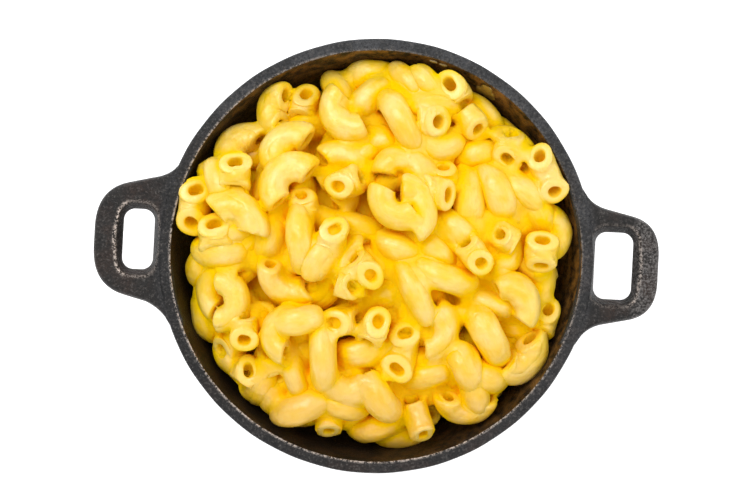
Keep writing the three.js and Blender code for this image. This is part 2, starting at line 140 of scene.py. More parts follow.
# ---- the food ----
TUBE = 9.2  # outside of an elbow
BORE = 3.8
CORE_TOP = 47.0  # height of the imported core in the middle
CORE_EDGE = 25.0  # and at the wall
GAP = 0.35  # between the food and the iron
SINK = 1.5  # how high over the core the middle line of an elbow comes to lie
TOUCH = 6.8  # closest that the middle lines of two elbows come, before a pile is softened
STACK_LIMIT = 8.0  # most that a pile raises an elbow
INWARD_LIMIT = 12.0  # most that an elbow moves inwards to clear the dish
INWARD_STEP = 0.4
TIPS = (-24, -12, 0, 12, 24)  # how far an elbow may tip to settle
TIP_COST = 0.03  # millimetres of height that a degree of tip counts for
# where the heap reaches up to the rim: direction, half width and rise over the core's edge
BANKS = ((162, 20, 15), (23, 17, 10), (5, 12, 9), (228, 13, 9), (75, 16, 7))
SLOPE_SHARE = 0.6  # how much of the core's slope an elbow leans with
BEADS = 7  # places on an elbow that it settles by
HUMP_REST = (0.25, 0.75)  # the stretch of a hump that bears on what is below
LOWER_CORE = 5.3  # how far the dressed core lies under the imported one

# The elbows from the bottom of the heap to its top, as rows of
# (posture, x, y, direction, lean, bend radius, sweep, seat).
# A bend lies flat, a hump lies with both ends down, and a ring stands with one end open to the
# sky. The seat is how far above its place on the core an elbow starts to settle.
ELBOWS = (
    # deep pieces along the wall
    ("hump", -57, -5.5, 58, 0, 6, 150, 1),
    ("hump", -54.6, -22.5, -75, 0, 6, 150, 1),
    ("bend", 54.2, -6, 180, 0, 6.5, 150, 1),
    ("hump", -50, -1.3, 5, 0, 6.5, 150, 0),
    ("hump", -32.2, -49.5, -70, 0, 5, 130, 0),
    ("ring", -12.3, -57.5, 95, 60, 16, 32, 3),
    ("hump", 11, -57, 12, 0, 6, 150, 0),
    ("ring", -30, -41.3, 100, 50, 6, 95, 0),
    ("hump", -8.5, -48.5, -5, 0, 6, 150, 0),
    ("hump", 0.5, 37, -35, 0, 5, 130, 0),
    ("hump", 32, 35.3, 0, 0, 6, 150, 0),
    # the outer ring of the heap
    ("bend", -46.9, 34.6, -45, 0, 6, 170, 1),
    ("hump", -15.5, 56, -60, 0, 6.5, 150, 1),
    ("hump", 32.6, 46.2, -45, 0, 7.5, 145, 1),
    ("bend", 42.4, 38.2, -120, 0, 6, 150, 1),
    ("hump", -50, 20.5, -70, 0, 6, 150, 2),
    ("ring", -25.3, 51.3, 262, 35, 6, 95, 2),
    ("bend", -36.3, 45.5, -5, 0, 5, 180, 2),
    ("hump", -5, 59.3, 0, 0, 6.5, 150, 2),
    ("hump", 7.2, 57, -50, 0, 6.5, 145, 2),
    ("hump", 14, 56.5, -50, 0, 5, 130, 0),
    ("bend", 59, 10.2, 180, 0, 5.5, 170, 1),
    ("ring", 56.6, -14.3, -105, 25, 6, 95, 2),
    ("bend", 51, -32.4, 135, 0, 5.7, 185, 2),
    ("hump", 36.5, -36.8, -20, 0, 6, 150, 0),
    ("hump", 34, -43.5, -75, 0, 6, 150, 0),
    ("bend", 31, -48.9, 88, 0, 6.2, 175, 0),
    ("hump", 2.5, -55.7, 25, 0, 7, 150, 2),
    ("ring", 18.3, -56.8, 112, 60, 22, 30, 4),
    ("ring", -48.4, -33.2, 40, 50, 6, 95, 2),
    ("ring", 52.7, 8, -90, 32, 6, 95, 2),
    ("ring", 20.6, 56.2, -50, 12, 6, 95, 3),
    ("ring", 56, 23.4, 116, 18, 6.6, 145, 1),
    ("ring", -59.3, 18.4, -95, 15, 5.6, 150, 1),
    # the slopes
    ("hump", 6.5, 3.2, -15, 0, 5, 130, 0),
    ("bend", -6, -43.8, 95, 0, 7, 150, 1),
    ("hump", -23, -41, -70, 0, 6, 150, 0),
    ("hump", -34, 4.5, 75, 0, 5.5, 130, 1),
    ("bend", -43.2, 12.8, -118, 0, 7, 150, 2),
    ("ring", -52, 7.7, -82, 27, 6, 95, 2),
    ("ring", -46, 27.6, -90, 28, 6, 95, 2),
    ("ring", -24.8, 18.4, -75, 52, 8, 60, 2),
    ("bend", -31.6, 35, -45, 0, 6, 160, 1),
    ("hump", -4.4, 51.6, 50, 0, 6, 150, 2),
    ("hump", 15, 48.6, 10, 0, 6.5, 150, 1),
    ("ring", 30.6, 42, 130, 55, 14, 36, 2),
    ("bend", 18.6, 36.6, 100, 0, 5, 170, 2),
    ("ring", 17.8, 43.6, 172, 28, 6, 95, 2),
    ("ring", 40.4, 33, 85, 25, 6, 95, 2),
    ("hump", 45, 24.5, -35, 0, 6.5, 150, 1),
    ("bend", 42.6, 3.6, 175, 0, 5, 185, 1),
    ("ring", 38.8, 9, -25, 46, 9, 45, 2),
    ("hump", 39.5, -13.5, -10, 0, 6.5, 150, 0),
    ("bend", 47.4, -9.8, 222, 0, 7.5, 150, 2),
    ("hump", 31.4, -34.6, -64, 0, 5.5, 145, 1),
    ("hump", 19, -37, 15, 0, 8, 150, 1),
    ("bend", 23, -23.3, 170, 0, 7, 150, 1),
    ("hump", 4, -46.5, -55, 0, 6.5, 150, 2),
    ("hump", -21, -49.8, 28, 0, 7.5, 150, 2),
    ("bend", -52.3, -11, -28, 0, 6.5, 190, 2),
    ("bend", -43.6, -16.8, 180, 0, 6.3, 185, 2),
    ("ring", -40.5, -28.9, 95, 8, 6, 95, 2),
    ("ring", -39.3, -39.2, -120, 2, 4.6, 92, 2),
    # the top
    ("ring", 20, 29.6, -90, 58, 8, 60, 3),
    ("bend", -9.5, 31, 240, 0, 7, 150, 0),
    ("bend", 6.8, 31.2, -90, 0, 6.3, 165, 1),
    ("bend", -31.7, 24.6, -42, 0, 7.2, 170, 2),
    ("bend", -14.9, 43.2, 38, 0, 7, 162, 2),
    ("hump", 5.2, 44.5, -60, 0, 8, 150, 2),
    ("hump", 28.5, 20, -84, 0, 8, 150, 0),
    ("hump", 38.5, 21.3, -62, 0, 7.5, 150, 1),
    ("ring", 22, 20.5, 176, 45, 6, 95, 2),
    ("hump", 18, 2.5, -40, 0, 5.5, 130, 0),
    ("hump", 25.5, 8.6, -38, 0, 7, 150, 0),
    ("ring", 33.3, -0.6, 130, 22, 6, 95, 2),
    ("hump", 24.5, -6.3, -14, 0, 8.5, 150, 1),
    ("hump", -24, 4, -79, 0, 6.8, 150, 2),
    ("hump", -17.5, -1.5, 60, 0, 5, 130, 1),
    ("bend", -29.4, -11.4, 60, 0, 7.5, 150, 1),
    ("bend", -31.2, -26, -8, 0, 5.2, 180, 1),
    ("hump", -24, -22, 13, 0, 5.2, 150, 1),
    ("hump", -15, -34, -85, 0, 8, 150, 1),
    ("ring", -12.4, -21.8, 10, 18, 6, 95, 2),
    ("hump", -3.2, -31, 8, 0, 5, 130, 1),
    ("ring", 1.8, -20.4, -115, 12, 6, 95, 1),
    ("ring", 10.5, -24, -100, 5, 5.9, 170, 0.5),
    ("hump", 37.8, -24.4, -58, 0, 8, 150, 2),
    ("ring", -13.2, 21.3, 25, 18, 6, 95, 1),
    ("ring", -13.4, 7.8, -110, 14, 6, 95, 1),
    ("bend", -9.8, -3.6, 5, 0, 6, 185, 1),
    ("ring", -6.8, -10.2, 165, 42, 7, 50, 2),
    ("ring", -1.2, -6.2, 140, 15, 6, 95, 2),
    ("hump", 12.2, -9.5, -62, 0, 8.5, 150, 1),
    ("bend", 13.3, 16.4, 197, 0, 6.5, 150, 0),
    ("bend", 3.4, 14, 55, 0, 6.5, 155, 2),
)

# Elbows that show only deep in the gaps of the heap, laid on the dressed core.
DEEP_ELBOWS = (
    ("ring", -57.5, -16.8, 5, 55, 5, 80, 8),
    ("hump", -34.5, -44, 15, 0, 5, 130, 4),
    ("hump", -20, -54.3, 15, 0, 6, 150, 4),
    ("hump", -5.5, -52.5, 0, 0, 5, 130, 4),
    ("hump", 40, -41.4, -50, 0, 5, 130, 4),
    ("hump", 51.5, -1, -35, 0, 6, 150, 4),
    ("hump", 39.5, 41.5, -40, 0, 5, 130, 4),
    ("hump", 3, -38, -80, 0, 5, 130, 4),
    ("hump", 25.5, 41, -60, 0, 6, 150, 4),
    ("hump", 50.5, -20, 0, 0, 6, 150, 4),
    ("hump", -28, -35.2, -10, 0, 6, 150, 4),
    ("hump", -40.8, 4.2, 50, 0, 6, 150, 4),
    ("hump", -46, 6, 20, 0, 6, 150, 5),
    ("hump", -48, -37, -40, 0, 5, 130, 4),
    ("hump", -54, 23.5, -30, 0, 6, 150, 4),
    ("hump", -5, -39, -70, 0, 5.5, 130, 4),
    ("hump", 51.5, 16.5, -60, 0, 6.5, 150, 5),
    ("ring", -35.4, -20.3, -60, 25, 6, 95, 4),
)
# what fills the gaps under the heap: posture, share, lean and sweep
FILLERS = (("bend", 0.45, 0, 160), ("hump", 0.35, 0, 160), ("ring", 0.2, 30, 95))
FILL_SPACING = 12.0  # between them
FILL_ROWS = 0.87  # of the spacing, between the rows of a staggered lattice
FILL_SCATTER = 2.5  # how far chance moves them each way
FILL_BEND = 6.3
FILL_RADIUS = 55.0
FILL_STACK = 3.0  # most that a pile raises one

# ---- how an elbow is shaped, in shares of its size where nothing else is said ----
HEAP_SEED = 11
SHAPE_SEED = 5
HEAP_GRID = (24, 14, 4)  # points round an elbow, along it and round each edge of its cut ends
DEEP_GRID = (14, 10, 3)
# ranges that chance draws from
SIZES = (0.96, 1.06)
SWELL = (0.02, 0.08)  # of the back, towards the middle of the bend
BELLY = (-0.05, 0.13)  # all round, towards the middle
FLATTEN = (0.03, 0.13)
WAVE = (0.03, 0.065)
# share of the wave, its radians along half an elbow and its waves round it
TUBE_WAVES = ((1.0, 2.1, 2), (0.6, 5, -3), (0.3, 9, 4))
SQUEEZE = 0.3  # millimetres that the cut ends are pressed flat, from none to twice that
LIP_SHARE = 0.46  # of the wall's thickness, rounded off the outer edge of a cut
MOUTH_SHARE = 0.7  # of that, rounded off the inner edge
CUT_REACH = 0.9  # how far in from the end a cut still looks cut
HOLE_SHADE = (0.25, 4.0)  # painted shade of the bore at its mouth, and how far in it is deepest
GRAIN_RUN = 14.0  # millimetres of tube for one unit of grain
HOLE_ROOM = 0.3  # how much wider than the bore a hole is kept clear
HOLE_MOUTH = 0.6  # how far before it

# ---- the cheese sauce ----
SAUCE_STEP = 0.9  # cell of the grid that the sauce is worked out on
SAUCE_BLEND = 0.8  # how widely the sauce rounds the corner between two elbows
SAUCE_DEPTH = 0.42  # scale of how far the sauce lies under the skin of a lone elbow
SAUCE_FLOOR = 15.0  # underside of the sauce, inside the core
SAUCE_TOP = 63.0  # top of the grid
SAUCE_REACH = 67.0  # half width of the grid
SAUCE_MARGIN = 4.0  # how far round an elbow its distance is worked out
SAUCE_POOL = 1.4  # how deep the sauce lies in the gaps, over the dressed core
SAUCE_FALL = 9.0  # how far it falls off at the wall
SLOPE_COSINE = 0.9  # a height over the core times this is near enough its distance
NO_HOLE = 9.0  # distance that stands for no hole near
SAUCE_GAP = 0.8  # how far it keeps off the wall
OPEN_BORE = (1.7, 4.8)  # how deep the sauce leaves the holes open, mid-heap and at the wall
OPEN_FROM = 60.0  # distance from the middle that counts as at the wall
BORE_CHANCE = (-0.4, 0.6)  # what chance adds to that depth
BORE_ROOM = 0.2  # how much wider than the bore the sauce leaves them
BORE_MOUTH = 1.5  # how far before them it stays away
UNDERCUT = 3  # cells that the air reaches sideways under the elbows
CLOSED = -0.3  # the field in a gap that the air doesn't reach
NEARBY = (-8.0, 30.0)  # distances past these count no more
# how far out a point looks for shelter, and the weight of what it finds
LOOKOUTS = ((1.6, 0.3), (3.2, 0.35), (6.0, 0.35))
LOOK_WAY = (0.6, 0.4)  # share of that along the normal, and straight up
OPEN_SHARE = 0.9  # share of it that counts as open air
SAUCE_TONE = 0.4
SAUCE_GRAIN = 30.0  # millimetres for one unit of grain
SMEAR_GRAIN = 12.0
# patches of sauce on the wall: bearing, height, length and width
SMEARS = ((59.2, 34.8, 7.6, 9.0), (76.4, 39.6, 2.6, 0.9), (73.5, 39.2, 2.8, 1.1))
SMEAR_RINGS = 9
SMEAR_COLUMNS = 48
SMEAR_THICKNESS = 0.45
SMEAR_EDGE = 0.1  # how far its edge stands off the wall
SMEAR_BACK = 0.4  # how far its back lies in the iron


# ---- meshes ----


def make_piece(name, points, faces, finish, node, marks, crease=None):
    """A mesh object from points in millimetres and a list of face arrays, with named values per
    point, that rides on the body, takes the slot's finish and replaces the node."""
    mesh = bpy.data.meshes.new(name)
    rows = [row for block in faces for row in block.tolist()]
    mesh.from_pydata(points / 1000.0, [], rows)
    for label, values in marks.items():
        kind, field = ("FLOAT", "value") if values.ndim == 1 else ("FLOAT_VECTOR", "vector")
        mesh.attributes.new(label, kind, "POINT").data.foreach_set(field, values.ravel())
    mesh.shade_smooth()
    if crease:
        mesh.set_sharp_from_angle(angle=np.radians(crease))
    mesh.materials.append(finish)
    piece = bpy.data.objects.new(name, mesh)
    bpy.context.scene.collection.objects.link(piece)
    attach(piece, "root")
    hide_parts(node)


def grid_faces(rows, columns, wrap_rows):
    """Quads of a grid of points that is closed along its columns, and along its rows if asked."""
    row = np.arange(rows if wrap_rows else rows - 1)[:, None]
    column = np.arange(columns)[None, :]
    next_row = (row + 1) % rows
    next_column = (column + 1) % columns
    corners = (
        row * columns + column,
        row * columns + next_column,
        next_row * columns + next_column,
        next_row * columns + column,
    )
    return np.stack(np.broadcast_arrays(*corners), -1).reshape(-1, 4)


def polar(radius, angle, *more):
    """Points (radius cos a, radius sin a), with any more coordinates after these."""
    parts = (radius * np.cos(angle), radius * np.sin(angle), *more)
    return np.stack(np.broadcast_arrays(*parts), -1)


def arc(centre, radius, start, end, steps):
    """Points centre + radius (cos a, sin a) as a runs from start to end, in degrees."""
    return np.array(centre) + polar(radius, np.radians(np.linspace(start, end, steps + 1)))


def parabola(a, b, c, steps):
    """Points (1-t)^2 a + 2 t (1-t) b + t^2 c as t runs from 0 to 1."""
    t = np.linspace(0, 1, steps)[:, None]
    a, b, c = (np.asarray(corner)[..., None, :] for corner in (a, b, c))
    return (1 - t) ** 2 * a + 2 * t * (1 - t) * b + t * t * c


def once_round(count):
    """Angles at equal steps once round, in radians."""
    return 2 * np.pi * np.arange(count) / count


def spaced(points, step):
    """A path filled in with points so that none of its straight runs is longer than the step."""
    runs = np.diff(points, axis=0)
    counts = np.maximum(np.ceil(np.hypot(*runs.T) / step).astype(int), 1)
    run = np.repeat(np.arange(len(runs)), counts)
    number = np.arange(len(run)) - (np.cumsum(counts) - counts)[run]
    share = number * (1 / counts[run])
    return np.concatenate([points[run] + runs[run] * share[:, None], points[-1:]])


def capped(rings, poles):
    """Points and faces of a surface of rings, closed by a pole before the first and one after the
    last. The rings are (ring, place round it, coordinate)."""
    rows, columns = rings.shape[:2]
    first, top = rows * columns, (rows - 1) * columns
    around = np.arange(columns)
    onward = (around + 1) % columns
    bottom = np.stack([np.full(columns, first), onward, around], -1)
    end = np.stack([np.full(columns, first + 1), top + around, top + onward], -1)
    points = np.concatenate([rings.reshape(-1, 3), poles])
    return points, [grid_faces(rows, columns, False), bottom, end]


def turned(profile):
    """A profile of (radius, height) turned about Z, from pole to pole. The radius waves a little
    round the dish, as sand casting leaves it: the mean of three sines of angle and height, less
    one, which fades to nothing towards the axis."""
    angle = once_round(DISH_COLUMNS)
    radius, height = profile[1:-1, :1], profile[1:-1, 1:]
    wave = sum(np.sin(k * angle + m * height + k) / 3 for k, m in CASTING_WAVES)
    radius = radius + CASTING * (wave - 1) * np.minimum(radius / CASTING_FADE, 1)
    poles = [[0, 0, profile[0, 1]], [0, 0, profile[-1, 1]]]
    return capped(polar(radius, angle, height), poles)


# ---- the dish ----


def wall_radius(height):
    """Inside radius of the dish, which leans in evenly from the rim to the bottom."""
    return RIM_INNER - WALL_LEAN * (RIM_HEIGHT - height) / (RIM_HEIGHT - FLOOR)


def dish_profile():
    """Outline of the dish's wall from the middle of its underside round to the middle of its
    floor: foot ring, lower corner, leaning wall, thick band, rounded rim and the hollow."""
    lean = WALL_LEAN / (RIM_HEIGHT - FLOOR)
    band_foot = RIM_HEIGHT - RIM_BAND
    corner_top = FOOT_HEIGHT + CORNER
    lowest = WALL_OUTER - lean * (band_foot - corner_top)
    inner_corner = wall_radius(FLOOR + CORNER)
    round_out, round_up = BAND_ROUND
    outline = np.concatenate(
        [
            [[0, FOOT_HEIGHT], [FOOT_INNER, FOOT_HEIGHT], [FOOT_INNER + FOOT_HEIGHT, 0]],
            [[FOOT_OUTER, 0], [FOOT_OUTER + FOOT_HEIGHT, FOOT_HEIGHT]],
            arc((lowest - CORNER, corner_top), CORNER, -90, 0, steps=12),
            [[WALL_OUTER, band_foot]],
            arc((WALL_OUTER + round_out, band_foot + round_up), BAND_STEP, -60, 0, steps=4),
            arc((RIM_RADIUS - RIM_EDGE, RIM_HEIGHT - RIM_EDGE), RIM_EDGE, 0, 90, steps=5),
            [[RIM_INNER + LIP_EDGE + WEAR_REACH, RIM_HEIGHT]],
            arc((RIM_INNER + LIP_EDGE, RIM_HEIGHT - LIP_EDGE), LIP_EDGE, 90, 180, steps=4),
            arc((inner_corner - CORNER, FLOOR + CORNER), CORNER, 0, -90, steps=12),
            [[0, FLOOR]],
        ]
    )
    return spaced(outline, WALL_STEP)


def handle_loops(size, side):
    """The outline of a handle and of its window, seen from above for a handle along +X, as points
    at equal steps of angle about the middle of the window. Each side of the outline is two
    parabolas (1-t)^2 a + 2 t (1-t) b + t^2 c, one round the shoulder and one down the root."""
    near, far, half, window_shift = size["window"]
    shift, window_shift = side * size["shift"], side * window_shift
    centre = np.array([(near + far) / 2, window_shift])
    stations = np.array([REACH, size["shoulder"], NECK])
    halves = []
    for way in (1, -1):
        arm = shift + way * (size["neck"] - size["taper"] * (stations - NECK))
        bar = (REACH, shift + way * size["bar"])
        corner, shoulder, neck = np.stack([stations, arm], -1)
        pull = (PULL, shift / 2 + way * size["pull"])
        root = (ROOT[0], way * ROOT[1])
        over = parabola(bar, corner, shoulder, CURVE_STEPS)
        down = parabola(neck, pull, root, CURVE_STEPS)
        edge = np.concatenate([[(REACH, shift)], over, down, [(ROOT[0] - ROOT_TAIL, root[1])]])
        edge = spaced(edge, LOOP_STEP)
        edge = edge[np.hypot(*edge.T) > BURIED]
        turn = np.degrees(np.arctan2(edge[-1, 1], edge[-1, 0]))
        halves.append(np.concatenate([edge, arc((0, 0), BURIED, turn, 0, steps=30)[1:]]))
    outline = np.concatenate([halves[0], halves[1][-2:0:-1]])
    window = []
    for x, way, start in ((far, 1, 0), (near, 1, 90), (near, -1, 180), (far, -1, 270)):
        inwards = WINDOW_CORNER * np.sign(x - centre[0])
        middle = (x - inwards, window_shift + way * (half - WINDOW_CORNER))
        window.append(arc(middle, WINDOW_CORNER, start, start + 90, steps=10))
    window = spaced(np.concatenate([*window, window[0][:1]]), LOOP_STEP)[:-1]
    angle = once_round(DISH_COLUMNS)
    return centre, at_angles(outline - centre, angle), at_angles(window - centre, angle)


def at_angles(loop, angle):
    """Points of a closed loop round the origin at the given angles, by straight interpolation."""
    own = np.unwrap(np.arctan2(loop[:, 1], loop[:, 0]))
    order = np.argsort(own)
    own, loop = own[order], loop[order]
    around = np.concatenate([own - 2 * np.pi, own, own + 2 * np.pi])
    return polar(np.interp(angle, around, np.tile(np.hypot(*loop.T), 3)), angle)


def rounded(corners, cut, steps):
    """Closed outlines with each corner replaced by a parabola that starts and ends some way from
    it: its own cut, and at most 0.45 of the side. The corners are (outline, corner, coordinate)."""
    ends = []
    for way in (1, -1):
        side = np.roll(corners, way, axis=1) - corners
        length = np.maximum(np.linalg.norm(side, axis=-1, keepdims=True), 1e-6)
        ends.append(corners + side * np.minimum(cut / length, 0.45))
    return parabola(ends[0], corners, ends[1], steps).reshape(len(corners), -1, 2)


def handle_surface(size, side):
    """A handle as a ring round its window. At each angle the section between the window and the
    outline is a flat hexagon with rounded corners, widest halfway down, whose height follows the
    slope of the handle: z falls in step with the distance from the outer bar. Near the dish the
    upper side rises by (drop + fall - sink) n^2, where n fades from 1, a millimetre inside the
    rim, to 0. Returns points, faces, and how much wear and painted glint and how much grit each
    point has: wear and painted glint along the window's upper edge, most on the bar, and grit on
    the bar alone."""
    centre, outline, window = handle_loops(size, side)
    width = np.linalg.norm(outline - window, axis=1)
    half = HANDLE_THICKNESS / 2
    inner_share, outer_share = DRAFT_SHARES
    inner = np.minimum(WINDOW_DRAFT, width * inner_share)
    outer = width - np.minimum(OUTER_DRAFT, width * outer_share)
    out = np.stack([0 * width - WINDOW_BULGE, inner, outer, width, outer, inner], -1)
    up = half * np.array([0, 1, 1, 0, -1, -1]) + 0 * out
    section = rounded(np.stack([out, up], -1), np.array(HANDLE_CORNERS)[:, None], EDGE_STEPS)
    share = section[..., 0] / width[:, None]
    plan = window[:, None] + (outline - window)[:, None] * share[..., None] + centre
    distance = np.hypot(plan[..., 0], plan[..., 1])
    near = 1 - np.clip((distance - RIM_RADIUS + 1) / ROOT_RUN, 0, 1)
    top = np.clip(section[..., 1] / half, 0, 1)
    fall = HANDLE_SLOPE * (REACH - plan[..., 0])
    rise = (HANDLE_DROP + fall - ROOT_SINK) * near**2 * top
    height = RIM_HEIGHT - HANDLE_DROP - half - fall + section[..., 1] + rise
    points = np.concatenate([plan * [side, side], height[..., None]], -1)
    rows, columns = points.shape[:2]
    past_window = plan[..., 0] - size["window"][1]
    on_bar = np.clip((past_window + WEAR_AND_GLINT_RUN) / WEAR_AND_GLINT_RUN, ARM_WEAR_AND_GLINT, 1)
    edge, step = np.divmod(np.arange(columns), EDGE_STEPS)
    # wear with a painted glint along the window's upper edge, set per handle
    worn_and_glinting = ((edge == 1) * np.sin(np.pi * step / (EDGE_STEPS - 1))) ** 3 * on_bar * size["wear_and_glint"]
    rough = np.clip((past_window + GRIT_RUN / 2) / GRIT_RUN, 0, 1) * size["grit"]
    marks = {"worn_and_glinting": worn_and_glinting.ravel(), "rough": rough.ravel()}
    return points.reshape(-1, 3), [grid_faces(rows, columns, True)], marks


def on_wall(turn, height, lift):
    """Points at a bearing in radians and a height, lifted off the inside of the wall."""
    return polar(wall_radius(height) - lift, turn, height)


def wall_smear(bearing, height, length, width):
    """A thin patch of sauce on the wall: rings of a disc whose thickness goes with the square
    root of (1 - r^2) and whose outline waves by 0.2 sin(3a + height) + 0.08 sin(7a + length),
    laid on the wall at a bearing and height. Its back is flat and lies just under the iron's
    surface."""
    out = np.linspace(0, 1, SMEAR_RINGS)
    ring = np.concatenate([out[1:], out[-2:0:-1]])[:, None]
    front = np.arange(len(ring))[:, None] < SMEAR_RINGS - 2
    angle = once_round(SMEAR_COLUMNS)
    wavy = 1 + 0.2 * np.sin(3 * angle + height) + 0.08 * np.sin(7 * angle + length)
    across = ring * wavy * np.cos(angle) * length / 2
    up = height + ring * wavy * np.sin(angle) * width / 2
    lift = np.where(front, SMEAR_THICKNESS * np.sqrt(1 - ring**2) + SMEAR_EDGE, -SMEAR_BACK)
    middle = np.radians(bearing)
    rings = on_wall(middle + across / RIM_INNER, up, lift)
    poles = on_wall(middle, height, np.array([SMEAR_THICKNESS + SMEAR_EDGE, -SMEAR_BACK]))
    return capped(rings, poles)


# ---- how the elbows lie ----

CORE_RADIUS = wall_radius(CORE_EDGE) - GAP


def core_height(x, y):
    """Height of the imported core: a dome that falls with the square of the distance from the
    middle, and bell-shaped banks round the rim that fade inwards."""
    share = np.minimum(np.hypot(x, y) / CORE_RADIUS, 1)
    around = np.degrees(np.arctan2(y, x))
    rises = [
        rise * np.exp(-((((around - direction + 540) % 360) - 180) / spread) ** 2)
        for direction, spread, rise in BANKS
    ]
    return CORE_EDGE + (CORE_TOP - CORE_EDGE) * (1 - share**2) + share**3 * np.max(rises, axis=0)


def middle_line(radius, sweep, along):
    """Points of an arc that opens to +Y, with the middle of its back at the origin."""
    angle = (np.asarray(along) - 0.5) * np.radians(sweep)
    return np.stack([radius * np.sin(angle), radius * (1 - np.cos(angle)), 0 * angle], -1)


def turn_of(heading, tip, roll):
    """The matrix that rolls about X, then tips about Y, then heads about Z."""
    (ch, sh), (ct, st), (cr, sr) = [
        (np.cos(a), np.sin(a)) for a in np.radians([heading, tip, roll])
    ]
    about_z = np.array([[ch, -sh, 0], [sh, ch, 0], [0, 0, 1]])
    about_y = np.array([[ct, 0, st], [0, 1, 0], [-st, 0, ct]])
    about_x = np.array([[1, 0, 0], [0, cr, -sr], [0, sr, cr]])
    return about_z @ about_y @ about_x


def slope_turn(x, y):
    """The matrix that leans +Z, by the shortest way, towards a share of the core's slope."""
    slope_x = (core_height(x - 1, y) - core_height(x + 1, y)) / 2
    slope_y = (core_height(x, y - 1) - core_height(x, y + 1)) / 2
    normal = np.array([SLOPE_SHARE * slope_x, SLOPE_SHARE * slope_y, 1.0])
    normal /= np.linalg.norm(normal)
    a, b, c = normal
    return np.array(
        [
            [1 - a * a / (1 + c), -a * b / (1 + c), a],
            [-a * b / (1 + c), 1 - b * b / (1 + c), b],
            [-a, -b, c],
        ]
    )


def posture_of(kind, direction, lean, sweep):
    """Heading, tip and roll, the place along the elbow that x and y mean, the stretch of it that
    bears on what is below, and how far it may tip and roll to settle."""
    if kind == "bend":
        return (direction - 90, 0, 0), 0.5, (0, 1), TIPS, TIPS
    if kind == "hump":
        return (direction, 0, -90), 0.5, HUMP_REST, TIPS, (0,)
    return (direction + 180, lean - 90 + sweep / 2, 90), 1, (0, 1), (0,), (0,)


def room_at(points):
    """Distance to the iron: to the wall below the rim, and to the rim's edge above it."""
    distance = np.hypot(points[..., 0], points[..., 1])
    over = np.hypot(np.maximum(RIM_INNER - distance, 0), points[..., 2] - RIM_HEIGHT)
    return np.where(points[..., 2] <= RIM_HEIGHT, wall_radius(points[..., 2]) - distance, over)


def settle(row, x, y, placed, lower, stack):
    """The lowest place that an elbow finds over x and y. Each way to tip and roll is lifted until
    it lies on the core and on the beads of the elbows already there, a high pile is softened
    towards its limit, and the way with the lowest middle wins."""
    kind, _, _, direction, lean, radius, sweep, seat = row
    (heading, tip, roll), anchor, bearing, tips, rolls = posture_of(kind, direction, lean, sweep)
    slope = np.eye(3) if kind == "ring" else slope_turn(x, y)
    ways = [(more_tip, more_roll) for more_tip in tips for more_roll in rolls]
    turns = np.array([slope @ turn_of(heading, tip + a, roll + b) for a, b in ways])
    pivot = turns @ middle_line(radius, sweep, anchor)
    shifts = np.array([x, y, 0.0]) - pivot
    line = middle_line(radius, sweep, np.linspace(*bearing, BEADS))
    beads = np.einsum("wij,bj->wbi", turns, line) + shifts[:, None]
    ground = (core_height(beads[..., 0], beads[..., 1]) - lower + SINK - beads[..., 2]).max(1)
    ground = ground + seat
    pile = np.zeros(len(ways))
    if len(placed):
        apart = np.hypot(
            beads[..., 0, None] - placed[:, 0], beads[..., 1, None] - placed[:, 1]
        )
        over = placed[:, 2] + np.sqrt(np.maximum(TOUCH**2 - apart**2, 0)) - beads[..., 2, None]
        over = np.where(apart < TOUCH, over, -np.inf)
        pile = np.maximum(over.max((1, 2)) - ground, 0)
    lift = ground + stack * (1 - np.exp(-pile / stack))
    effort = np.array([abs(a) + abs(b) for a, b in ways])
    best = np.argmin(beads[..., 2].mean(1) + lift + TIP_COST * effort)
    rise = np.array([0, 0, lift[best]])
    return turns[best], shifts[best] + rise, beads[best] + rise


def lay_elbows(rows, lower, stack):
    """Lays the elbows one by one. A piece that would cross the dish moves inwards until it is
    clear, and one that stays too close all the way is left out."""
    placed = np.zeros((0, 3))
    laid = []
    for row in rows:
        _, x, y, _, _, radius, sweep, _ = row
        for inward in np.arange(0, INWARD_LIMIT, INWARD_STEP):
            share = 1 - inward / max(np.hypot(x, y), inward + 1)
            turn, shift, beads = settle(row, x * share, y * share, placed, lower, stack)
            line = middle_line(radius, sweep, np.linspace(0, 1, BEADS + 1)) @ turn.T + shift
            if np.all(room_at(line) > TUBE / 2 + GAP):
                placed = np.concatenate([placed, beads])
                laid.append({"turn": turn, "shift": shift, "radius": radius, "sweep": sweep})
                break
    return laid


def filler_rows(chance):
    """Rows for the elbows that fill the gaps under the heap: a staggered lattice, each spot moved
    a little and given a posture and direction by chance."""
    count = int(FILL_RADIUS / FILL_SPACING) + 1
    shares = [filler[1] for filler in FILLERS]
    rows = []
    for i in range(-count, count + 1):
        for j in range(-count, count + 1):
            x = (i + 0.5 * (j % 2)) * FILL_SPACING + chance.uniform(-FILL_SCATTER, FILL_SCATTER)
            y = j * FILL_SPACING * FILL_ROWS + chance.uniform(-FILL_SCATTER, FILL_SCATTER)
            kind, _, lean, sweep = FILLERS[chance.choice(len(FILLERS), p=shares)]
            row = (kind, x, y, chance.uniform(0, 360), lean, FILL_BEND, sweep, 0)
            if np.hypot(x, y) < FILL_RADIUS:
                rows.append(row)
    return rows


# ---- the elbows' surfaces ----


def tube_wall(length, outer, inner, steps, lips):
    """The wall of a cut tube as a closed outline of (place along, radius): out along the outside,
    round the cut at one end, back through the bore and round the cut at the other end."""
    soft = LIP_SHARE * (outer - inner)
    fine = soft * MOUTH_SHARE
    edge = arc((length / 2 - soft, outer - soft), soft, 90, 0, lips)
    mouth = arc((length / 2 - fine, inner + fine), fine, 0, -90, lips)
    along = np.linspace(-length / 2 + soft, length / 2 - soft, steps + 1)[1:-1]
    outside = np.stack([along, np.full(len(along), outer)], -1)
    back = np.linspace(length / 2 - fine, -length / 2 + fine, steps // 2 + 1)[1:-1]
    inside = np.stack([back, np.full(len(back), inner)], -1)
    flip = np.array([-1, 1])
    return np.concatenate([outside, edge, mouth, inside, (mouth * flip)[::-1], (edge * flip)[::-1]])


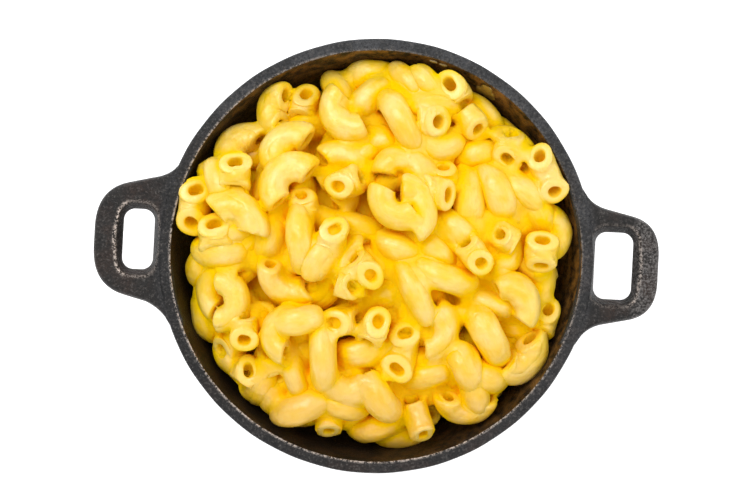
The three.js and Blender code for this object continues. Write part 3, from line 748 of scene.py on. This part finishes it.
def elbow_surface(laid, sides, steps, lips, chance):
    """One elbow: the wall of a cut tube carried along its bent middle line. The section is
    flattened a little by cos 2u, and more so towards the cut ends, with the fourth power of the
    distance from the middle. The back swells towards the middle of the bend, and slow waves along
    and round the tube make it soft. Returns points, their grain, and how far each is into the hole
    and into the cut."""
    size, radius = laid["size"], laid["radius"]
    length = radius * np.radians(laid["sweep"])
    swell, belly = chance.uniform(*SWELL), chance.uniform(*BELLY)
    flatten, flat_way = chance.uniform(*FLATTEN), chance.uniform(0, np.pi)
    wave, phase = chance.uniform(*WAVE), chance.uniform(0, 2 * np.pi, 3)
    squeeze = SQUEEZE * (1 + np.sin(phase[1]))
    wall = tube_wall(length, size * TUBE / 2, size * BORE / 2, steps, lips)
    u = once_round(sides)
    along, reach = wall[:, :1], wall[:, 1:]
    share = along / length * 2
    flat = np.cos(2 * (u - flat_way))
    shape = 1 + flatten * flat
    shape = shape + (1 - share**2) * (belly - swell * np.cos(u))
    for start, (part, k, m) in zip(phase, TUBE_WAVES):
        shape = shape + part * wave * np.sin(k * share + m * u + start)
    reach = reach * shape + squeeze * share**4 * flat
    angle = along / radius
    out = radius - reach * np.cos(u)
    points = np.stack([out * np.sin(angle), radius - out * np.cos(angle), reach * np.sin(u)], -1)
    middle = (size * TUBE + size * BORE) / 4
    into = np.clip((middle - wall[:, 1]) / (middle - size * BORE / 2), 0, 1)
    inwards = length / 2 - np.abs(wall[:, 0])
    shade, darkest = HOLE_SHADE
    # painted shade inside the hole, from the mouth into the bore
    hole = np.repeat(into * (shade + (1 - shade) * np.clip(inwards / darkest, 0, 1)), sides)
    cut = np.repeat(1 - np.clip(inwards / CUT_REACH, 0, 1), sides)
    whole = np.ones_like(along)
    run = along / GRAIN_RUN + phase[0] + 0 * u
    grain = np.stack([np.cos(u) * whole, np.sin(u) * whole, run], -1)
    points = points.reshape(-1, 3) @ laid["turn"].T + laid["shift"]
    return points, grain.reshape(-1, 3), hole, cut


def elbow_mesh(laid, sides, steps, lips):
    """All the elbows of a layer as one set of points and quads, with what the finish needs at each
    point: the grain, the hole, the cut end and the tone of the piece."""
    chance = np.random.default_rng(SHAPE_SEED)
    parts = {name: [] for name in ("points", "grain", "hole", "cut", "tone", "faces")}
    for number, piece in enumerate(laid):
        surface = elbow_surface(piece, sides, steps, lips, chance)
        count = len(surface[0])
        tone = np.full(count, chance.uniform(0, 1))
        faces = grid_faces(count // sides, sides, True) + number * count
        for values, own in zip(parts.values(), (*surface, tone, faces)):
            values.append(own)
    marks = {name: np.concatenate(values) for name, values in parts.items()}
    return marks.pop("points"), marks.pop("faces"), marks


def tube_frame(points, piece):
    """Points in a bent tube's own frame. With them come, for each, the distance and the angle
    about the centre of the bend, q, the distance to the middle line, and e, how far it is past the
    nearer end along the arc."""
    own = (points - piece["shift"]) @ piece["turn"]
    radius = piece["radius"]
    across = np.hypot(own[..., 0], radius - own[..., 1])
    angle = np.arctan2(own[..., 0], radius - own[..., 1])
    q = np.hypot(across - radius, own[..., 2])
    e = (np.abs(angle) - np.radians(piece["sweep"]) / 2) * radius
    return own, across, angle, q, e


def clear_holes(points, owner, hosts):
    """Points that lie in the hole of another elbow, turned about that elbow's bend centre to the
    floor of the hole, so that nothing crosses the holes."""
    for number, piece in enumerate(hosts):
        own, across, angle, q, e = tube_frame(points, piece)
        radius, half = piece["radius"], np.radians(piece["sweep"]) / 2
        inside = (q < piece["size"] * BORE / 2 + HOLE_ROOM) & (owner != number)
        inside &= (e > -piece["bore"]) & (e < HOLE_MOUTH)
        depth = np.maximum(half - piece["bore"] / radius, 0) * np.sign(angle[inside])
        own[inside, 0] = across[inside] * np.sin(depth)
        own[inside, 1] = radius - across[inside] * np.cos(depth)
        points[inside] = own[inside] @ piece["turn"].T + piece["shift"]
    return points


# ---- the sauce ----


def elbow_distance(points, piece):
    """Distance from points to a bent tube with cut ends and holes open to a set depth, and to the
    air in those holes."""
    *_, q, e = tube_frame(points, piece)
    side = q - piece["size"] * TUBE / 2
    solid = np.hypot(np.maximum(side, 0), np.maximum(e, 0)) + np.minimum(np.maximum(side, e), 0)
    bore = q - piece["size"] * BORE / 2 - BORE_ROOM
    hole = np.maximum(bore, np.maximum(-e - piece["bore"], e - BORE_MOUTH))
    return np.maximum(solid, -hole), hole


def food_field(laid):
    """Distance to the food on a grid of cells: each elbow and the core counts exp(-distance/blend)
    and the field is -blend ln(sum), which rounds the corners between them as sauce does. The core
    is raised to the top of the sauce that lies on it, and falls off at the wall with the sixth
    power of the radius. The sauce keeps off the wall and ends at a flat underside inside the
    core."""
    side = np.arange(-SAUCE_REACH, SAUCE_REACH + SAUCE_STEP, SAUCE_STEP)
    levels = np.arange(SAUCE_FLOOR - 2 * SAUCE_STEP, SAUCE_TOP, SAUCE_STEP)
    axes = (side, side, levels)
    x, y, z = np.meshgrid(*axes, indexing="ij")
    dome = core_height(x[..., 0], y[..., 0]) - LOWER_CORE + SAUCE_POOL
    share = np.minimum(np.hypot(x[..., 0], y[..., 0]) / CORE_RADIUS, 1)
    dome = dome - SAUCE_FALL * share**6
    core = (z - dome[..., None]) * SLOPE_COSINE
    total = np.exp(-np.clip(core, *NEARBY) / SAUCE_BLEND)
    holes = np.full(total.shape, NO_HOLE)
    margin = TUBE / 2 + SAUCE_MARGIN
    for piece in laid:
        line = middle_line(piece["radius"], piece["sweep"], np.linspace(0, 1, 9))
        line = line @ piece["turn"].T + piece["shift"]
        ends = np.stack([line.min(0) - margin, line.max(0) + margin], -1)
        cells = tuple(slice(*np.searchsorted(axis, pair)) for axis, pair in zip(axes, ends))
        distance, hole = elbow_distance(np.stack([x[cells], y[cells], z[cells]], -1), piece)
        total[cells] += np.exp(-np.clip(distance, *NEARBY) / SAUCE_BLEND)
        if piece["open"]:
            holes[cells] = np.minimum(holes[cells], hole)
    field = np.maximum(-SAUCE_BLEND * np.log(total), -holes)
    wall = np.hypot(x, y) - np.where(z < RIM_HEIGHT, wall_radius(z), RIM_INNER) + SAUCE_GAP
    return np.maximum(field, wall), axes


def clinging(axes):
    """How deep under the elbows' surfaces the sauce lies on the same grid: a set depth times
    (0.65 - 0.75 w), where w is the slow wave sin(x/4.3 + 2 sin(y/7.1)) sin(y/5.1 + z/5.9), which
    brings it just over them in places."""
    x, y, z = np.meshgrid(*axes, indexing="ij")
    wave = np.sin(x / 4.3 + 2 * np.sin(y / 7.1)) * np.sin(y / 5.1 + z / 5.9)
    return SAUCE_DEPTH * (0.65 - 0.75 * wave)


def filled(field):
    """The field with every gap closed that lies more than a few cells in from where the air comes
    straight down."""
    solid = field < 0
    reached = ~np.maximum.accumulate(solid[:, :, ::-1], axis=2)[:, :, ::-1]
    for _ in range(UNDERCUT):
        grown = reached.copy()
        for axis in range(3):
            for way in (1, -1):
                grown |= np.roll(reached, way, axis)
        reached = grown & ~solid
    return np.where(solid | reached, field, CLOSED)


def skin_of(field, axes):
    """The closed skin where a field of distances changes sign. Each cell that the skin crosses
    holds one point, the mean of the crossings on its twelve edges, and each grid edge that the
    skin crosses makes a quad of the four cells round it."""
    inside = field < 0
    shape = np.array(field.shape) - 1
    total = np.zeros((*shape, 3))
    count = np.zeros(shape)
    spots = np.stack(np.meshgrid(*[np.arange(n) for n in field.shape], indexing="ij"), -1)
    crossed = []
    for axis in range(3):
        one, two = [i for i in range(3) if i != axis]
        near = tuple(slice(0, -1) if i == axis else slice(None) for i in range(3))
        far = tuple(slice(1, None) if i == axis else slice(None) for i in range(3))
        change = inside[near] != inside[far]
        gap = field[near] - field[far]
        spot = spots[near].astype(float)
        spot[..., axis] += np.where(change, field[near] / np.where(gap == 0, 1, gap), 0)
        for a in (0, 1):
            for b in (0, 1):
                cut = [slice(None)] * 3
                cut[one] = slice(a, a + shape[one])
                cut[two] = slice(b, b + shape[two])
                cut = tuple(cut)
                total += np.where(change[cut][..., None], spot[cut], 0)
                count += change[cut]
        crossed.append((axis, one, two, change, inside[near]))
    used = count > 0
    number = np.full(used.shape, -1)
    number[used] = np.arange(used.sum())
    points = total[used] / count[used][:, None]
    faces = []
    for axis, one, two, change, below in crossed:
        keep = [slice(None)] * 3
        keep[one] = keep[two] = slice(1, -1)
        where = np.argwhere(change[tuple(keep)])
        where[:, [one, two]] += 1
        step = np.zeros((4, 3), int)
        step[[1, 2], one] = -1
        step[[2, 3], two] = -1
        cells = where[:, None] + step
        quad = number[cells[..., 0], cells[..., 1], cells[..., 2]]
        outward = below[tuple(where.T)] ^ (axis == 1)
        faces.append(np.where(outward[:, None], quad, quad[:, ::-1]))
    place = [np.interp(points[:, i], np.arange(len(a)), a) for i, a in enumerate(axes)]
    return np.stack(place, -1), np.concatenate(faces)


def sampled(field, axes, points):
    """The field at points, by straight interpolation between the eight cells round each."""
    start = np.array([axis[0] for axis in axes])
    place = np.clip((points - start) / SAUCE_STEP, 0, np.array(field.shape) - 1.001)
    low = place.astype(int)
    part = place - low
    value = 0
    for corner in np.ndindex(2, 2, 2):
        weight = np.abs(1 - np.array(corner) - part).prod(1)
        value = value + weight * field[tuple((low + corner).T)]
    return value


def point_normals(points, faces):
    """Normals at points: the sum of the cross products of the diagonals of the quads round each."""
    a, b, c, d = (points[faces[:, i]] for i in range(4))
    own = np.cross(c - a, d - b)
    normals = np.zeros_like(points)
    for i in range(4):
        for axis in range(3):
            normals[:, axis] += np.bincount(faces[:, i], own[:, axis], len(points))
    return normals / np.maximum(np.linalg.norm(normals, axis=1, keepdims=True), 1e-9)


def shelter_of(points, faces, field, axes):
    """How closed in each point is, from 0 in the open to 1 in a deep gap: the share by which the
    distance to the food, some way out along the normal and upwards, falls short of the way. The
    finish paints shade by it."""
    normals = point_normals(points, faces)
    outward, upward = LOOK_WAY
    short = 0
    for way, weight in LOOKOUTS:
        spot = points + normals * way * outward + np.array([0, 0, way * upward])
        open_way = sampled(field, axes, spot) / (way * OPEN_SHARE)
        short = short + weight * np.clip(1 - open_way, 0, 1)
    return short


# ---- finishes ----


class Finish:
    """A material whose nodes are added by short calls."""

    def __init__(self, name):
        self.material = bpy.data.materials.new(name)
        self.material.use_nodes = True
        self.nodes = self.material.node_tree.nodes
        self.links = self.material.node_tree.links
        self.shader = self.nodes["Principled BSDF"]
        self.place = self.nodes.new("ShaderNodeTexCoord").outputs["Object"]

    def link(self, value, socket):
        """Joins a node's output to a socket, or sets the socket to a number or colour."""
        if isinstance(value, bpy.types.NodeSocket):
            self.links.new(value, socket)
        else:
            socket.default_value = value

    def give(self, **looks):
        """Links or sets the shader's own sockets, named with _ for a space."""
        for name, value in looks.items():
            self.link(value, self.shader.inputs[name.replace("_", " ")])

    def add(self, kind, output, **inputs):
        """The output of a new node, its inputs linked or set, named with _ for a space."""
        node = self.nodes.new("ShaderNode" + kind)
        for name, value in inputs.items():
            self.link(value, node.inputs[name.replace("_", " ")])
        return node.outputs[output]

    def clouds(self, place, scale, detail, rough):
        """Cloudy noise on any coordinates, with a scale of its own."""
        looks = {"Scale": scale, "Detail": detail, "Roughness": rough}
        return self.add("TexNoise", "Fac", Vector=place, **looks)

    def noise(self, size, detail=3.0, rough=0.55):
        """Cloudy noise whose features are about size millimetres across."""
        return self.clouds(self.place, 1000.0 / size, detail, rough)

    def cells(self, size):
        """Distance to the nearest of scattered points that are about size millimetres apart."""
        return self.add("TexVoronoi", "Distance", Scale=1000.0 / size, Vector=self.place)

    def mark(self, name, output="Fac"):
        """A value that the mesh holds at each point."""
        node = self.nodes.new("ShaderNodeAttribute")
        node.attribute_name = name
        return node.outputs[output]

    def depth(self):
        """How far back a point lies in the object's own coordinates, in metres."""
        return self.add("SeparateXYZ", "Y", Vector=self.place)

    def span(self, value, low, high, to_low=0.0, to_high=1.0):
        """The value stretched evenly from one span to another, and held at its ends."""
        ends = {"From_Min": low, "From_Max": high, "To_Min": to_low, "To_Max": to_high}
        return self.add("MapRange", "Result", Value=value, **ends)

    def times(self, a, b):
        """The product of two values."""
        node = self.nodes.new("ShaderNodeMath")
        node.operation = "MULTIPLY"
        self.link(a, node.inputs[0])
        self.link(b, node.inputs[1])
        return node.outputs[0]

    def mix(self, share, a, b):
        """A blend from a to b by the share. A colour may be three numbers from 0 to 255."""
        node = self.nodes.new("ShaderNodeMix")
        node.data_type = "RGBA"
        self.link(share, node.inputs["Factor"])
        for name, value in (("A", a), ("B", b)):
            self.link(colour(*value) if isinstance(value, tuple) else value, node.inputs[name])
        return node.outputs["Result"]

    def coats(self, body, *coats):
        """Colours laid over a body colour one after another, each by its share."""
        for share, tint in coats:
            body = self.mix(share, body, tint)
        return body

    def bump(self, *coats):
        """Bumps one over another, each a height from 0 to 1, how many millimetres it stands for
        and its strength."""
        under = {}
        for height, depth, strength in coats:
            own = {"Height": height, "Distance": depth / 1000.0, "Strength": strength}
            under = {"Normal": self.add("Bump", "Normal", **own, **under)}
        return under["Normal"]


def colour(red, green, blue):
    """A colour given as it looks on a screen, from 0 to 255, as the renderer's linear values."""
    share = np.array([red, green, blue]) / 255
    linear = np.where(share <= 0.04045, share / 12.92, ((share + 0.055) / 1.055) ** 2.4)
    return (*linear.tolist(), 1.0)


def cheese_finish():
    """Wet pasta in cheese sauce: yellow with painted shade that deepens it to orange in sheltered
    places and in the bores, painted cream sheen in clouds where it is open to the air, painted
    shade that browns the front, paler cut ends, soft light inside it and a thin gloss that
    sheltered places lose."""
    f = Finish("cheese")
    shelter, tone = f.mark("shelter"), f.mark("tone")
    grain = f.mark("grain", "Vector")
    open_air = f.span(shelter, 0.06, 0.42, 1.0, 0.0)
    strands = f.clouds(grain, 3.0, 3.0, 0.6)
    threads = f.clouds(grain, 7.0, 2.0, 0.6)
    # painted sheen: cream clouds laid only where the food is open to the air
    painted_sheen = f.times(f.span(f.noise(7.0, 2.0, 0.5), 0.4, 0.68), open_air)
    body = f.coats(
        f.mix(tone, (245, 198, 0), (245, 206, 4)),
        (f.times(painted_sheen, 0.5), (249, 222, 148)),
        (f.times(f.span(strands, 0.46, 0.7), 0.3), (248, 220, 114)),
        (f.span(tone, 0.75, 1.0, 0.0, 0.4), (245, 208, 124)),
        (f.times(f.span(threads, 0.46, 0.34), 0.3), (243, 190, 0)),
        # painted shade: the front of the heap browns
        (f.span(f.depth(), -0.022, -0.055, 0.0, 0.45), (220, 154, 4)),
        (f.times(f.mark("cut"), 0.5), (252, 222, 118)),
        # painted shade: sheltered places deepen to orange, the deepest gaps most
        (f.span(shelter, 0.12, 0.5, 0.0, 0.75), (248, 203, 6)),
        (f.span(shelter, 0.7, 1.0, 0.0, 0.75), (247, 166, 4)),
        # painted shade: deeper orange inside the bores
        (f.times(f.mark("hole"), 0.45), (255, 200, 0)),
        (f.times(f.mark("dull"), 0.9), (128, 104, 44)),
    )
    f.give(
        Base_Color=body,
        Subsurface_Weight=0.3,
        Subsurface_Radius=(1.0, 0.85, 0.15),
        Subsurface_Scale=0.0008,
        Roughness=f.span(f.noise(3.0), 0.35, 0.65, 0.34, 0.5),
        Specular_IOR_Level=f.times(open_air, 0.9),
        Coat_Weight=f.times(open_air, 0.25),
        Coat_Roughness=0.25,
        Normal=f.bump((f.noise(4.0, 2.0), 0.8, 0.8), (strands, 0.2, 0.7), (threads, 0.08, 0.6)),
    )
    return f.material


def iron_finish():
    """Seasoned sand-cast iron: near black with a blue-grey bloom and fine pebbles outside, darker
    with painted shade towards the left, a rim grey painted lighter towards the back, warm brown on
    the wall inside with golden stains of painted light and painted reflection, and bare metal
    where edges are worn, with a painted glint."""
    f = Finish("cast_iron")
    pebbles = f.cells(0.8)
    grain = f.noise(0.9, 4.0, 0.75)
    bloom = f.span(f.noise(7.0, 4.0), 0.38, 0.66)
    dark = f.span(grain, 0.5, 0.4, 0.0, 0.7)
    outside = f.coats(
        f.mix(bloom, (24, 22, 21), (41, 37, 35)),
        (f.span(f.noise(11.0, 3.0), 0.5, 0.64, 0, 0.6), (54, 38, 30)),
        (f.mark("rim"), f.mix(bloom, (48, 49, 51), (70, 71, 74))),
        # painted shade: the outside darkens towards the left
        (f.mark("painted_shade_side"), (10, 9, 9)),
        (dark, (14, 13, 13)),
        (f.span(grain, 0.54, 0.68, 0.0, 0.7), (100, 96, 93)),
        (f.times(f.mark("rough"), f.span(f.noise(0.8, 3.0, 0.7), 0.45, 0.62)), (108, 104, 102)),
    )
    # golden-brown stains, with painted light and painted reflection that make them strongest
    # towards the right and back
    stain_and_light = f.times(f.span(f.noise(4.0, 4.0, 0.65), 0.4, 0.62), f.mark("painted_wall_light"))
    inside = f.coats(
        f.mix(bloom, (21, 14, 9), (46, 31, 18)),
        (stain_and_light, (146, 106, 50)),
        (f.times(dark, 0.5), (14, 9, 6)),
    )
    # wear and painted glint: pale chips along the worn edges
    chips_and_glints = f.times(f.mark("worn_and_glinting"), f.span(f.noise(0.8, 3.0, 0.8), 0.46, 0.54))
    f.give(
        Base_Color=f.coats(outside, (f.mark("hollow"), inside), (chips_and_glints, (244, 228, 216))),
        Metallic=0.3,
        Specular_IOR_Level=0.45,
        Roughness=f.span(grain, 0.3, 0.7, 0.38, 0.62),
        Normal=f.bump((f.noise(3.0, 3.0), 0.5, 0.7), (pebbles, 0.3, 0.8), (grain, 0.35, 0.9)),
    )
    return f.material


def floor_finish():
    """Plain white paper."""
    f = Finish("paper")
    f.give(
        Base_Color=(0.9, 0.9, 0.9, 1),
        Roughness=0.9,
        Emission_Color=(1, 1, 1, 1),
        Emission_Strength=0.6,
    )
    return f.material


# ---- the pieces ----


def towards(points, bearing, level, gain, least, most):
    """The value level + gain cos(a), held between the least and the most, where a is the angle
    between each point and a bearing in degrees, seen from above."""
    angle = np.arctan2(points[:, 1], points[:, 0]) - np.radians(bearing)
    return np.clip(level + gain * np.cos(angle), least, most)


def make_dish(finish):
    """The dish and its two handles, whose roots end inside the wall. The lip's wear and painted
    glint are strongest at the lower left, painted shade darkens the outside most at the left, the
    rim's grey is painted lighter towards the back, and painted light makes the inside wall golden
    most towards the right and back."""
    points, faces = turned(dish_profile())
    distance, height = np.hypot(points[:, 0], points[:, 1]), points[:, 2]
    hollow = distance < wall_radius(height) + HOLLOW_SLACK
    hollow &= (height > FLOOR - 1) & (height < RIM_HEIGHT - HOLLOW_TOP)
    lip = np.hypot(distance - RIM_INNER - LIP_MIDDLE, height - RIM_HEIGHT + LIP_MIDDLE)
    # painted light: the rim's grey grows lighter towards the back
    bloom = RIM_BLOOM + points[:, 1] / BACK_LIGHT_RUN
    rim = np.clip((height - RIM_HEIGHT + RIM_BAND) / BLOOM_FADE, 0, 1) * bloom
    marks = {
        "hollow": hollow.astype(float),
        "painted_wall_light": towards(points, *PAINTED_WALL_LIGHT),
        # wear with a painted glint along the lip, strongest at the lower left
        "worn_and_glinting": np.clip(LIP_WEAR_AND_GLINT - lip / LIP_WIDTH, 0, 1) * towards(points, *WORN_AND_GLINTING),
        "rim": rim * (1 - hollow),
        "painted_shade_side": towards(points, *PAINTED_SHADE_SIDE),
    }
    make_piece("dish_body", points, faces, finish, "dish", marks, crease=40)
    ends, fade = ROOT_BLOOM
    for name, size, side in (("handle_right", RIGHT_HANDLE, 1), ("handle_left", LEFT_HANDLE, -1)):
        points, faces, marks = handle_surface(size, side)
        distance = np.hypot(points[:, 0], points[:, 1])
        marks["rim"] = np.clip((RIM_RADIUS + ends - distance) / fade, 0, 1)
        marks["painted_shade_side"] = towards(points, *PAINTED_SHADE_SIDE) * marks["rim"]
        make_piece(name, points, faces, finish, "dish", marks, crease=50)


def make_food(finish):
    """The heap: the elbows that show, those that fill the gaps under them, and the sauce."""
    chance = np.random.default_rng(HEAP_SEED)
    heap = lay_elbows(ELBOWS, 0.0, STACK_LIMIT)
    under = lay_elbows((*DEEP_ELBOWS, *filler_rows(chance)), LOWER_CORE, FILL_STACK)
    for number, piece in enumerate(heap + under):
        piece["size"] = chance.uniform(*SIZES)
        piece["open"] = number < len(heap)
        outward = min(np.hypot(*piece["shift"][:2]) / OPEN_FROM, 1) ** 2
        piece["bore"] = np.interp(outward, (0, 1), OPEN_BORE) + chance.uniform(*BORE_CHANCE)
    field, axes = food_field(heap + under)
    pieces = []
    for name, laid, first, grid in (
        ("elbows", heap, 0, HEAP_GRID),
        ("deep_elbows", under, len(heap), DEEP_GRID),
    ):
        points, faces, marks = elbow_mesh(laid, *grid)
        owner = first + np.arange(len(points)) // (len(points) // len(laid))
        points = clear_holes(points, owner, heap)
        marks["shelter"] = shelter_of(points, faces, field, axes)
        pieces.append((name, points, [faces], marks))
    points, faces = skin_of(filled(field + clinging(axes)), axes)
    plain = np.zeros(len(points))
    marks = {"hole": plain, "cut": plain, "tone": plain + SAUCE_TONE}
    marks["shelter"] = shelter_of(points, faces, field, axes)
    marks["grain"] = points / SAUCE_GRAIN
    pieces.append(("sauce", points, [faces], marks))
    for number, patch in enumerate(SMEARS):
        points, faces = wall_smear(*patch)
        marks = {"grain": points / SMEAR_GRAIN, "dull": np.ones(len(points))}
        pieces.append((f"wall_smear_{number + 1}", points, faces, marks))
    for name, points, faces, marks in pieces:
        make_piece(name, points, faces, finish, "macaroni", marks)


def make_stage():
    """A white floor, a big soft light overhead from the upper left, weaker ones from the right
    and from the front, and an even pale sky."""
    half = 3.0  # of the floor's width, in metres
    mesh = bpy.data.meshes.new("floor")
    corners = [(-half, -half, 0), (half, -half, 0), (half, half, 0), (-half, half, 0)]
    mesh.from_pydata(corners, [], [(0, 1, 2, 3)])
    mesh.materials.append(floor_finish())
    floor = bpy.data.objects.new("floor", mesh)
    bpy.context.scene.collection.objects.link(floor)
    for name, spot, power in (
        ("key", (-0.45, 0.5, 1.0), 7.4),
        ("fill", (0.8, 0.1, 0.7), 2.6),
        ("front", (0.0, -0.9, 0.6), 1.5),
    ):
        light = bpy.data.lights.new(name, "AREA")
        light.energy = power
        light.size = 0.8
        lamp = bpy.data.objects.new(name, light)
        lamp.location = spot
        lamp.rotation_euler = (-lamp.location).to_track_quat("-Z", "Y").to_euler()
        bpy.context.scene.collection.objects.link(lamp)
    world = bpy.data.worlds.new("sky")
    world.use_nodes = True
    sky = world.node_tree.nodes["Background"]
    sky.inputs["Color"].default_value = (1, 1, 1, 1)
    sky.inputs["Strength"].default_value = 0.67
    bpy.context.scene.world = world
    bpy.context.scene.view_settings.view_transform = "Standard"


def make_camera():
    """Straight above the dish with a long lens, turned three degrees about the view."""
    distance, scale = 0.65, 3114.0  # metres above the rim, pixels a metre at the rim
    centre_row = 6.0  # pixels from the middle of the image down to the middle of the dish
    width = 752  # of the image, in pixels
    lens = bpy.data.cameras.new("camera")
    lens.sensor_width = 36.0
    lens.lens = 36.0 * scale * distance / width
    turn = np.radians(3.0)
    aim = np.array([-np.sin(turn), np.cos(turn)]) * centre_row / scale
    camera = bpy.data.objects.new("camera", lens)
    camera.location = (aim[0], aim[1], RIM_HEIGHT / 1000 + distance)
    camera.rotation_euler = (0, 0, turn)
    bpy.context.scene.collection.objects.link(camera)
    bpy.context.scene.camera = camera


make_camera()
make_stage()
make_dish(iron_finish())
make_food(cheese_finish())
